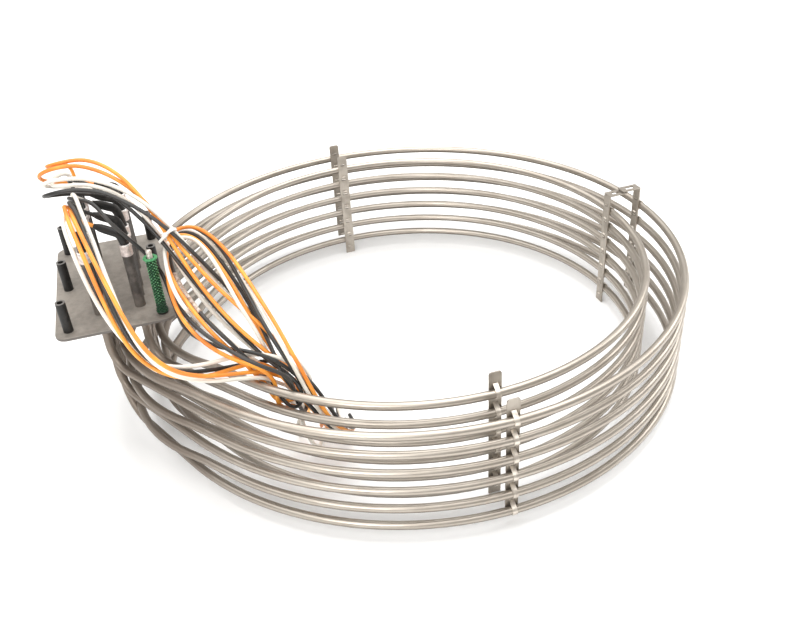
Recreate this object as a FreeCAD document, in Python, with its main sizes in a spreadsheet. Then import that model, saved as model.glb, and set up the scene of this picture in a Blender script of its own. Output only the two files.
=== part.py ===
"""Tubular heating element: six two-turn sheathed tubes wound as an outer and an inner coil, strapped
to three pairs of flat bars, with their ends brazed into one flange plate and wired with twelve leads.

All sizes are millimetres. Z is up and zero is the floor under the bars' feet. The flange plate is on
the -X side, and the origin is at the middle of the base, the leads left out.
"""
import FreeCAD, Part
import math
import os
import Sketcher

V = FreeCAD.Vector
doc = FreeCAD.newDocument("HeatingElement")

# Sizes that can be set
SIZES = [
    ("coil_radius", 436, "outer coil, axis of the coil to the middle of the tube"),
    ("coil_gap", 58, "middle of the outer coil's tube to the middle of the inner coil's"),
    ("column_pitch", 55.5, "outer column of tube ends to the inner one"),
    ("tube_d", 12, "sheathed tube, outside diameter"),
    ("level_pitch", 31, "one turn to the next, up the bars"),
    ("lowest_turn", 27, "middle of the lowest turn above the floor"),
    ("leg_bend", 36, "bend of a leg under the flange, to the middle of the tube"),
    ("low_leg_bend", 52, "the same where a leg runs down to the lowest pair of turns"),
    ("under_half_angle", 38, "a turn that passes under the flange leaves the circle here, degrees"),
    ("under_clear", 14.5, "such a turn's middle, inward from the column of legs"),
    ("under_bend", 290, "bend radius of such a turn beside the flange, outer coil"),
    ("under_bend_inner", 236, "the same for the inner coil"),
    ("under_rise", 12, "how far such a turn has climbed or sunk when it reaches the flange"),
    ("ease_run", 55, "straight run before that climb starts"),
    ("ease_bend", 420, "bend radius where that climb starts"),
    ("flange_out", 15.5, "middle of the flange, outward from the outer coil's circle"),
    ("flange_width", 163, "flange along X"),
    ("flange_length", 266, "flange along Y"),
    ("flange_thick", 5, "flange thickness"),
    ("flange_corner", 16, "flange corner radius"),
    ("flange_above", 55.5, "underside of the flange above the middle of the top outer turn"),
    ("column_out", 21, "outer column of tube ends, outward from the middle of the flange"),
    ("group_offset", 55, "middle of the flange to the middle row of each group of tube ends"),
    ("row_pitch", 28, "one row of tube ends to the next"),
    ("hole_clear", 0.2, "flange hole over the tube, on the diameter"),
    ("stud_inset_x", 18, "studs, inward from the flange's long sides"),
    ("stud_inset_y", 18.5, "corner studs, inward from the flange's short sides"),
    ("stud_d", 8, "stud diameter"),
    ("stud_short", 39, "short stud above the flange"),
    ("stud_long", 99, "long stud above the flange"),
    ("cap_sleeve_d", 13.4, "rubber sleeve on a short stud, outside"),
    ("cap_sleeve_len", 46, "rubber sleeve on a short stud, length"),
    ("sleeve_clear", 0.4, "sleeves over their studs, on the diameter"),
    ("mesh_d", 13.4, "mesh sleeve on the long stud, outside"),
    ("mesh_bore", 10.2, "mesh sleeve, inside"),
    ("mesh_len", 85, "mesh sleeve, length"),
    ("mesh_head_d", 19.6, "disc on top of the mesh sleeve"),
    ("mesh_head_thick", 3, "thickness of that disc"),
    ("mesh_foot_d", 17, "flared foot of the mesh sleeve"),
    ("mesh_foot_len", 9, "length of the flare"),
    ("collar_d", 15, "rubber collar round the foot of the long stud"),
    ("collar_len", 3, "height of that collar"),
    ("end_sleeve_d", 15, "sleeve on each tube end, outside"),
    ("end_sleeve_len", 81.5, "sleeve on each tube end, above the flange"),
    ("end_clear", 0.2, "sleeve and ferrule over the tube, on the diameter"),
    ("ferrule_d", 16, "ferrule, outside"),
    ("ferrule_len", 17.5, "ferrule length"),
    ("tube_in_ferrule", 4, "how far the tube stands inside its ferrule"),
    ("boot_d", 12, "black boot on each tube end; it fills the ferrule above the tube"),
    ("boot_len", 44, "boots that stand straight, above the tube's tip"),
    ("boot_bend", 20, "bend radius of the boots that lean over"),
    ("lead_d", 5.5, "lead, over its insulation"),
    ("ribbed_d", 6.4, "ribbed sleeve on one lead, outside"),
    ("ribbed_clear", 0.1, "that sleeve over its lead, on the diameter"),
    ("tie_wide", 4, "tie round the leads, along them"),
    ("tie_thick", 1.2, "thickness of a tie"),
    ("bar_width", 18, "bar width"),
    ("bar_thick", 2, "bar thickness"),
    ("bar_above", 30, "front and back bars above the middle of the top turn"),
    ("folded_bar_above", 36, "right outer bar, with its fold, above the middle of the top turn"),
    ("outer_bar_foot", 11, "foot of an outer bar above the floor; the inner bars stand on the floor"),
    ("bar_corner", 4, "bar corner radius"),
    ("clip_wide", 7, "strap width"),
    ("clip_thick", 1, "strap thickness"),
    ("clip_gap", 0.15, "strap and bar to the tube"),
    ("clip_wrap", 60, "half angle of the strap round the tube, degrees"),
    ("clip_past", 1, "strap end past the back of the bar"),
    ("slot_clear", 0.3, "slot round the strap, each side"),
    ("front_bar_angle", -89.4, "front pair of bars round the coil, degrees from +X"),
    ("right_bar_angle", 2.8, "right pair of bars"),
    ("back_bar_angle", 92, "back pair of bars"),
    ("tie_arm", 34, "flange folded over from the top of each right bar"),
    ("tie_slot_len", 16, "slot in each folded flange"),
    ("tie_slot_wide", 7, "width of that slot"),
    ("tie_gap", 1.5, "upper folded flange over the lower one"),
]
TURNS = 6
BARS = ("front", "right", "back")

sheet = doc.addObject("Spreadsheet::Sheet", "Sizes")
for row, (name, value, note) in enumerate(SIZES, start=1):
    sheet.set(f"A{row}", note)
    sheet.set(f"B{row}", str(value))
    sheet.setAlias(f"B{row}", name)
doc.recompute()


def size(name):
    """The value of a named cell."""
    return float(sheet.get(name))


# Places worked out from the sizes
flange_reach = size("coil_radius") + size("flange_out")
far_side = size("coil_radius") + size("tube_d") / 2 + size("clip_gap") + size("clip_thick")
coil_x = (flange_reach + size("flange_width") / 2 - far_side) / 2
flange_x = coil_x - flange_reach
column_x = {"outer": flange_x - size("column_out"),
            "inner": flange_x - size("column_out") + size("column_pitch")}
radius = {"outer": size("coil_radius"), "inner": size("coil_radius") - size("coil_gap")}
under_bend = {"outer": size("under_bend"), "inner": size("under_bend_inner")}
top_turn = size("lowest_turn") + (TURNS - 1) * size("level_pitch")
flange_under = top_turn + size("flange_above")
flange_top = flange_under + size("flange_thick")
end_top = flange_top + size("end_sleeve_len") + size("tube_in_ferrule")
rows = [size("group_offset") + step * size("row_pitch") for step in (1, 0, -1)]


def turn_height(turn):
    """Middle of a turn above the floor; turn 1 is the top one."""
    return size("lowest_turn") + (TURNS - turn) * size("level_pitch")


def origin_plane(body, role):
    """One of a body's own origin planes or axes."""
    return [item for item in body.Origin.OriginFeatures if item.Role == role][0]


def new_sketch(body, name, role):
    """A sketch on one of the body's origin planes."""
    sketch = body.newObject("Sketcher::SketchObject", name)
    sketch.AttachmentSupport = [(origin_plane(body, role), "")]
    sketch.MapMode = "FlatFace"
    return sketch


def bind(sketch, kind, geometry, value, expression):
    """A sketch dimension tied to an expression on the sheet."""
    index = sketch.addConstraint(Sketcher.Constraint(kind, *geometry, value))
    sketch.setExpression(f"Constraints[{index}]", expression)


def add_rectangle(sketch, middle, expressions):
    """A rectangle whose middle and sides follow expressions (x, y, width, height), all measured from
    the sketch's origin."""
    x, y, wide, high = middle
    corners = [V(x - wide / 2, y - high / 2, 0), V(x + wide / 2, y - high / 2, 0),
               V(x + wide / 2, y + high / 2, 0), V(x - wide / 2, y + high / 2, 0)]
    first = sketch.GeometryCount
    for index, corner in enumerate(corners):
        sketch.addGeometry(Part.LineSegment(corner, corners[(index + 1) % 4]))
    for index in range(4):
        sketch.addConstraint(Sketcher.Constraint("Coincident", first + index, 2,
                                                 first + (index + 1) % 4, 1))
    for index, kind in enumerate(("Horizontal", "Vertical", "Horizontal", "Vertical")):
        sketch.addConstraint(Sketcher.Constraint(kind, first + index))
    x_now, y_now, wide_now, high_now = expressions
    bind(sketch, "DistanceX", (first, 1, first, 2), wide, wide_now)
    bind(sketch, "DistanceY", (first + 1, 1, first + 1, 2), high, high_now)
    bind(sketch, "DistanceX", (-1, 1, first, 2), x + wide / 2, f"({x_now}) + ({wide_now}) / 2")
    bind(sketch, "DistanceY", (-1, 1, first + 1, 2), y + high / 2, f"({y_now}) + ({high_now}) / 2")


def add_circle(sketch, middle, diameter, expressions):
    """A circle whose middle and diameter follow expressions (x, y, diameter)."""
    index = sketch.addGeometry(Part.Circle(V(*middle, 0), V(0, 0, 1), diameter / 2))
    x_now, y_now, diameter_now = expressions
    bind(sketch, "DistanceX", (-1, 1, index, 3), middle[0], x_now)
    bind(sketch, "DistanceY", (-1, 1, index, 3), middle[1], y_now)
    bind(sketch, "Diameter", (index,), diameter, diameter_now)


def pad(body, sketch, expression, midplane=False, backward=False):
    """A pad whose length follows an expression."""
    feature = body.newObject("PartDesign::Pad", f"{body.Label}_pad")
    feature.Profile = sketch
    feature.Midplane = midplane
    feature.Reversed = backward
    feature.setExpression("Length", expression)
    return feature


def pattern(body, originals, role, expression, count):
    """Copies of features along one of the body's own axes."""
    feature = body.newObject("PartDesign::LinearPattern", f"{body.Label}_pattern")
    feature.Originals = originals
    feature.Direction = (origin_plane(body, role), [""])
    feature.setExpression("Length", expression)
    feature.Occurrences = count
    body.Tip = feature
    return feature


def bent_edges(points, radii):
    """Straight runs between points, joined by tangent arcs at the points between the ends."""
    edges = []
    start = points[0]
    for before, corner, after, bend in zip(points, points[1:], points[2:], radii):
        into = (corner - before).normalize()
        out = (after - corner).normalize()
        turn = into.getAngle(out)
        reach = bend * math.tan(turn / 2)
        inward = (out - into).normalize()
        middle = corner + inward * (bend / math.cos(turn / 2) - bend)
        arc_start, arc_end = corner - into * reach, corner + out * reach
        edges.append(Part.LineSegment(start, arc_start).toShape())
        edges.append(Part.Arc(arc_start, middle, arc_end).toShape())
        start = arc_end
    edges.append(Part.LineSegment(start, points[-1]).toShape())
    return edges


def swept_tube(label, edges, diameter):
    """A round bar along a route, as a sweep of one circle; the diameter is an expression."""
    route = doc.addObject("Part::Feature", f"{label}_route")
    route.Shape = Part.Wire(edges)
    start = edges[0].Vertexes[0].Point
    heading = edges[0].tangentAt(edges[0].FirstParameter)
    profile = doc.addObject("Part::Circle", f"{label}_section")
    profile.setExpression("Radius", f"({diameter}) / 2")
    profile.Placement = FreeCAD.Placement(start, FreeCAD.Rotation(V(0, 0, 1), heading))
    sweep = doc.addObject("Part::Sweep", label)
    sweep.Label = label
    sweep.Sections = [profile]
    sweep.Spine = (route, [f"Edge{index + 1}" for index in range(len(edges))])
    sweep.Solid = True
    return sweep


def tube_cut(name, outside, bore, length, place):
    """A plain sleeve: one cylinder less another, sized by expressions."""
    shell = doc.addObject("Part::Cylinder", f"{name}_outside")
    hollow = doc.addObject("Part::Cylinder", f"{name}_bore")
    for cylinder, diameter in ((shell, outside), (hollow, bore)):
        cylinder.setExpression("Radius", f"({diameter}) / 2")
        cylinder.setExpression("Height", length)
        cylinder.Placement.Base = place
    sleeve = doc.addObject("Part::Cut", name)
    sleeve.Base = shell
    sleeve.Tool = hollow
    return sleeve


def group(label, members):
    """Like pieces kept in one named node, each still a solid of its own."""
    compound = doc.addObject("Part::Compound", label)
    compound.Label = label
    compound.Links = members
    return compound


nodes = []


# Heating elements: each is one tube, two turns round the coil, with both ends up through the flange
def leave_angle(coil, row):
    """Where a leg's straight run leaves the circle, from the flange side."""
    across, along = column_x[coil] - coil_x, row
    return math.atan2(along, -across) + math.acos(radius[coil] / math.hypot(across, along))


def on_circle(coil, angle, height, side):
    """A point of the circle; angle from the flange side, side -1 in front and 1 at the back."""
    return V(coil_x - radius[coil] * math.cos(angle), side * radius[coil] * math.sin(angle), height)


def turn_arcs(coil, height, start, end):
    """One turn from the front, over the far side, to the back, as two arcs."""
    far = V(coil_x + radius[coil], 0, height)
    arcs = []
    for first, last, side, angle in ((on_circle(coil, start, height, -1), far, -1, start),
                                     (far, on_circle(coil, end, height, 1), 1, end)):
        middle = on_circle(coil, (math.pi + angle) / 2, height, side)
        arcs.append(Part.Arc(first, middle, last).toShape())
    return arcs


def under_flange(coil, low, high):
    """From the lower turn at the back to the upper turn in front, inside the column of legs."""
    angle = math.radians(size("under_half_angle"))
    across = column_x[coil] + size("under_clear")
    along = (radius[coil] - (coil_x - across) * math.cos(angle)) / math.sin(angle)
    back, front = on_circle(coil, angle, low, 1), on_circle(coil, angle, high, -1)
    near_back = V(across, along, low + size("under_rise"))
    near_front = V(across, -along, high - size("under_rise"))
    flat_back = V(near_back.x, near_back.y, low) - back
    flat_front = V(near_front.x, near_front.y, high) - front
    points = [back, back + flat_back.normalize() * size("ease_run"), near_back, near_front,
              front + flat_front.normalize() * size("ease_run"), front]
    bends = [size("ease_bend"), under_bend[coil], under_bend[coil], size("ease_bend")]
    return bent_edges(points, bends)


def element_edges(coil, low_turn, row):
    """Front leg, lower turn, under the flange, upper turn, back leg."""
    low, high = turn_height(low_turn), turn_height(low_turn - 1)
    leg, under = leave_angle(coil, row), math.radians(size("under_half_angle"))
    across = column_x[coil]
    bend = size("low_leg_bend") if low_turn == TURNS else size("leg_bend")
    edges = bent_edges([V(across, -row, end_top), V(across, -row, low), on_circle(coil, leg, low, -1)],
                       [bend])
    edges += turn_arcs(coil, low, leg, under)
    edges += under_flange(coil, low, high)
    edges += turn_arcs(coil, high, under, leg)
    edges += bent_edges([on_circle(coil, leg, high, 1), V(across, row, high), V(across, row, end_top)],
                        [size("leg_bend")])
    return edges


for coil in ("outer", "inner"):
    for number, row in enumerate(rows, start=1):
        edges = element_edges(coil, 2 * number, row)
        nodes.append(swept_tube(f"{coil}_element_{number}", edges, "Sizes.tube_d"))


# Flange plate: rounded, with twelve holes for the tube ends
flange = doc.addObject("PartDesign::Body", "flange_plate")
flange.Label = "flange_plate"
outline = new_sketch(flange, "flange_outline", "XY_Plane")
add_rectangle(outline, (0, 0, size("flange_width"), size("flange_length")),
              ("0", "0", "Sizes.flange_width", "Sizes.flange_length"))
flange_pad = pad(flange, outline, "Sizes.flange_thick")
doc.recompute()
corners = [f"Edge{index}" for index, edge in enumerate(flange_pad.Shape.Edges, start=1)
           if abs(edge.tangentAt(edge.FirstParameter).z) > 0.9]
rounding = flange.newObject("PartDesign::Fillet", "flange_corners")
rounding.Base = (flange_pad, corners)
rounding.setExpression("Radius", "Sizes.flange_corner")
tube_hole = new_sketch(flange, "tube_hole", "XY_Plane")
add_circle(tube_hole, (-size("column_out"), -rows[0]), size("tube_d") + size("hole_clear"),
           ("-Sizes.column_out", "-(Sizes.group_offset + Sizes.row_pitch)",
            "Sizes.tube_d + Sizes.hole_clear"))
hole = flange.newObject("PartDesign::Pocket", "tube_hole_cut")
hole.Profile = tube_hole
hole.Type = "ThroughAll"
hole.Midplane = True
holes = flange.newObject("PartDesign::MultiTransform", "tube_holes")
holes.Originals = [hole]
steps = []
for name, role, expression, count in (("hole_rows", "Y_Axis", "2 * Sizes.row_pitch", 3),
                                      ("hole_columns", "X_Axis", "Sizes.column_pitch", 2),
                                      ("hole_groups", "Y_Axis", "2 * Sizes.group_offset", 2)):
    step = flange.newObject("PartDesign::LinearPattern", name)
    step.Direction = (origin_plane(flange, role), [""])
    step.setExpression("Length", expression)
    step.Occurrences = count
    steps.append(step)
holes.Transformations = steps
flange.Tip = holes
flange.Placement.Base = V(flange_x, 0, flange_under)
nodes.append(flange)


# Studs: six stand on the flange; five are short, and the one at the front inner corner is long
def stud_place(column, row):
    """Foot of a stud on the flange; column -1 outward, 1 inward; row -1 front, 0, 1 back."""
    across = size("flange_width") / 2 - size("stud_inset_x")
    along = size("flange_length") / 2 - size("stud_inset_y")
    return V(flange_x + column * across, row * along, flange_top)


short_places = [(-1, -1), (-1, 0), (-1, 1), (1, 0), (1, 1)]
long_place = stud_place(1, -1)


def stud(name, place, length):
    """A plain round stud."""
    rod = doc.addObject("Part::Cylinder", name)
    rod.setExpression("Radius", "Sizes.stud_d / 2")
    rod.setExpression("Height", length)
    rod.Placement.Base = place
    return rod


nodes.append(group("short_studs", [stud(f"stud_{index}", stud_place(*place), "Sizes.stud_short")
                                   for index, place in enumerate(short_places)]))
nodes.append(stud("long_stud", long_place, "Sizes.stud_long"))
nodes.append(group("stud_sleeves", [tube_cut(f"cap_{index}", "Sizes.cap_sleeve_d",
                                             "Sizes.stud_d + Sizes.sleeve_clear",
                                             "Sizes.cap_sleeve_len", stud_place(*place))
                                    for index, place in enumerate(short_places)]))
nodes.append(tube_cut("stud_collar", "Sizes.collar_d", "Sizes.stud_d + Sizes.sleeve_clear",
                      "Sizes.collar_len", long_place))


# Mesh sleeve on the long stud: a disc on top, a flared foot that stands on the collar
def add_polygon(sketch, points):
    """A closed outline in a sketch."""
    for first, last in zip(points, points[1:] + points[:1]):
        sketch.addGeometry(Part.LineSegment(V(*first, 0), V(*last, 0)))


mesh = doc.addObject("PartDesign::Body", "mesh_sleeve")
mesh.Label = "mesh_sleeve"
section = new_sketch(mesh, "mesh_section", "XZ_Plane")
mesh_end, head_under = size("mesh_len"), size("mesh_len") - size("mesh_head_thick")
add_polygon(section, [(size("mesh_bore") / 2, 0), (size("mesh_foot_d") / 2, 0),
                      (size("mesh_d") / 2, size("mesh_foot_len")), (size("mesh_d") / 2, head_under),
                      (size("mesh_head_d") / 2, head_under), (size("mesh_head_d") / 2, mesh_end),
                      (size("mesh_bore") / 2, mesh_end)])
turned = mesh.newObject("PartDesign::Revolution", "mesh_turned")
turned.Profile = section
turned.ReferenceAxis = (section, ["V_Axis"])
turned.Angle = 360
mesh.Placement.Base = long_place + V(0, 0, size("collar_len"))
nodes.append(mesh)


# Tube ends: a sleeve from the flange up, then a ferrule that holds the tube's tip
def end_place(coil, side, row, height):
    """Middle of a tube end at a height; side -1 in front, 1 at the back."""
    return V(column_x[coil], side * row, height)


ferrule_foot = flange_top + size("end_sleeve_len")
for coil in ("outer", "inner"):
    places = [(side, row) for side in (-1, 1) for row in rows]
    nodes.append(group(f"{coil}_end_sleeves", [
        tube_cut(f"{coil}_end_sleeve_{index}", "Sizes.end_sleeve_d", "Sizes.tube_d + Sizes.end_clear",
                 "Sizes.end_sleeve_len", end_place(coil, *place, flange_top))
        for index, place in enumerate(places)]))
    nodes.append(group(f"{coil}_ferrules", [
        tube_cut(f"{coil}_ferrule_{index}", "Sizes.ferrule_d", "Sizes.tube_d + Sizes.end_clear",
                 "Sizes.ferrule_len", end_place(coil, *place, ferrule_foot))
        for index, place in enumerate(places)]))


# Bars: three pairs, each bar flat on the inside of its coil, slotted for the straps
strap_in = size("tube_d") / 2 + size("clip_gap")
strap_out = strap_in + size("clip_thick")
wrap = math.radians(size("clip_wrap"))
bar_front = -strap_in
bar_back = bar_front - size("bar_thick")


def leg_height(across, ring):
    """Height of a strap's straight leg at a distance across, on its inner or outer face."""
    foot = (ring * math.cos(wrap), ring * math.sin(wrap))
    return foot[1] + (foot[0] - across) / math.tan(wrap)


slot_low = leg_height(bar_front, strap_in) - size("slot_clear")
slot_high = leg_height(bar_back, strap_out) + size("slot_clear")


def bar_ends(coil, which):
    """Foot and top of a bar; the right inner bar ends under the fold of the right outer one."""
    foot = size("outer_bar_foot") if coil == "outer" else 0
    if which != "right":
        return foot, top_turn + size("bar_above")
    top = top_turn + size("folded_bar_above")
    if coil == "inner":
        top -= size("bar_thick") + size("tie_gap")
    return foot, top


def bar_placement(coil, which):
    """Where a bar's own frame stands: its X axis points outward at the middle of the tube."""
    angle = size(f"{which}_bar_angle")
    turned = FreeCAD.Rotation(V(0, 0, 1), angle)
    return FreeCAD.Placement(V(coil_x, 0, 0) + turned.multVec(V(radius[coil], 0, 0)), turned)


def slotted_bar(coil, which):
    """One bar, in a frame whose X is outward from the middle of the tube and Y along it."""
    label = f"{coil}_{which}_bar"
    body = doc.addObject("PartDesign::Body", label)
    body.Label = label
    foot, top = bar_ends(coil, which)
    face = new_sketch(body, f"{label}_face", "YZ_Plane")
    add_rectangle(face, (0, (foot + top) / 2, size("bar_width"), top - foot),
                  ("0", f"{(foot + top) / 2}", "Sizes.bar_width", f"{top - foot}"))
    face.AttachmentOffset = FreeCAD.Placement(V(0, 0, bar_back), FreeCAD.Rotation())
    strip = pad(body, face, "Sizes.bar_thick")
    slots = new_sketch(body, f"{label}_slot", "YZ_Plane")
    wide, high = size("clip_wide") + 2 * size("slot_clear"), slot_high - slot_low
    lowest = turn_height(TURNS)
    for side in (-1, 1):
        add_rectangle(slots, (0, lowest + side * (slot_low + slot_high) / 2, wide, high),
                      ("0", f"{lowest + side * (slot_low + slot_high) / 2}",
                       "Sizes.clip_wide + 2 * Sizes.slot_clear", f"{high}"))
    cut = body.newObject("PartDesign::Pocket", f"{label}_slot_cut")
    cut.Profile = slots
    cut.Type = "ThroughAll"
    cut.Midplane = True
    pattern(body, [cut], "Z_Axis", f"{TURNS - 1} * Sizes.level_pitch", TURNS)
    body.Placement = bar_placement(coil, which)
    return body


def rounded_top(body, top):
    """The two top corners of a bar, rounded."""
    doc.recompute()
    base = body.Tip
    corners = [f"Edge{index}" for index, edge in enumerate(base.Shape.Edges, start=1)
               if abs(edge.tangentAt(edge.FirstParameter).x) > 0.9
               and edge.CenterOfMass.z > top - size("bar_thick")
               and abs(abs(edge.CenterOfMass.y) - size("bar_width") / 2) < size("bar_thick")]
    rounding = body.newObject("PartDesign::Fillet", f"{body.Label}_corners")
    rounding.Base = (base, corners)
    rounding.setExpression("Radius", "Sizes.bar_corner")
    body.Tip = rounding


def folded_arm(body, coil, top):
    """The top of a right bar folded level: inward on the outer bar, outward on the inner one."""
    label = body.Label
    arm = new_sketch(body, f"{label}_arm", "XY_Plane")
    reach, width = size("tie_arm"), size("bar_width")
    heading = -1 if coil == "outer" else 1
    start = bar_front if coil == "outer" else bar_back
    add_rectangle(arm, (start + heading * reach / 2, 0, reach, width),
                  (f"{start} + {heading} * Sizes.tie_arm / 2", "0", "Sizes.tie_arm", "Sizes.bar_width"))
    add_rectangle(arm, (start + heading * reach / 2, 0, size("tie_slot_len"), size("tie_slot_wide")),
                  (f"{start} + {heading} * Sizes.tie_arm / 2", "0", "Sizes.tie_slot_len",
                   "Sizes.tie_slot_wide"))
    arm.AttachmentOffset = FreeCAD.Placement(V(0, 0, top), FreeCAD.Rotation())
    pad(body, arm, "Sizes.bar_thick", backward=True)


for coil in ("outer", "inner"):
    for which in BARS:
        bar = slotted_bar(coil, which)
        bar_top = bar_ends(coil, which)[1]
        if which == "right":
            folded_arm(bar, coil, bar_top)
        else:
            rounded_top(bar, bar_top)
        nodes.append(bar)


# Straps: a bent strip over each turn, its two ends through the bar's slots
def strap_group(coil, which):
    """The six straps of one bar."""
    label = f"{coil}_{which}_clips"
    body = doc.addObject("PartDesign::Body", label)
    body.Label = label
    profile = new_sketch(body, f"{label}_profile", "XZ_Plane")
    end = bar_back - size("clip_past")
    middle = turn_height(TURNS)
    for ring, turn in ((strap_in, 1), (strap_out, 1)):
        profile.addGeometry(Part.ArcOfCircle(Part.Circle(V(0, middle, 0), V(0, 0, 1), ring), -wrap, wrap))
    for side in (-1, 1):
        tips = []
        for ring in (strap_in, strap_out):
            foot = V(ring * math.cos(wrap), middle + side * ring * math.sin(wrap), 0)
            tip = V(end, middle + side * leg_height(end, ring), 0)
            profile.addGeometry(Part.LineSegment(foot, tip))
            tips.append(tip)
        profile.addGeometry(Part.LineSegment(*tips))
    strap = pad(body, profile, "Sizes.clip_wide", midplane=True)
    pattern(body, [strap], "Z_Axis", f"{TURNS - 1} * Sizes.level_pitch", TURNS)
    body.Placement = bar_placement(coil, which)
    return body


for coil in ("outer", "inner"):
    for which in BARS:
        nodes.append(strap_group(coil, which))


# Boots: black sleeves that stand on the tube tips; those of the inner column lean over outward. The
# leaning ones and the leads are laid out by hand with the flange's middle here, and move with it.
LAID_OUT_AT = V(-406.575, 0, 242.5)
moved = V(flange_x, 0, flange_top) - LAID_OUT_AT
INNER_BOOTS = {
    (-1, 0): [354, (-406, -73, 370)],
    (-1, 1): [360, (-405, -52, 377)],
    (-1, 2): [366, (-404, -30, 384)],
    (1, 2): [356, (-407, 21, 374)],
    (1, 1): [354, (-405, 43, 371)],
    (1, 0): [352, (-404, 70, 368)],
}
for coil in ("outer", "inner"):
    boots = []
    for side in (-1, 1):
        for index, row in enumerate(rows):
            name = f"{coil}_boot_{'front' if side < 0 else 'back'}_{index + 1}"
            foot = end_place(coil, side, row, end_top)
            if coil == "outer":
                edges = [Part.LineSegment(foot, foot + V(0, 0, size("boot_len"))).toShape()]
            else:
                bend_height, tip = INNER_BOOTS[(side, index)]
                edges = bent_edges([foot, V(foot.x, foot.y, bend_height + moved.z), V(*tip) + moved],
                                   [size("boot_bend")])
            boots.append(swept_tube(name, edges, "Sizes.boot_d"))
    nodes.append(group(f"{coil}_boots", boots))


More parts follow.
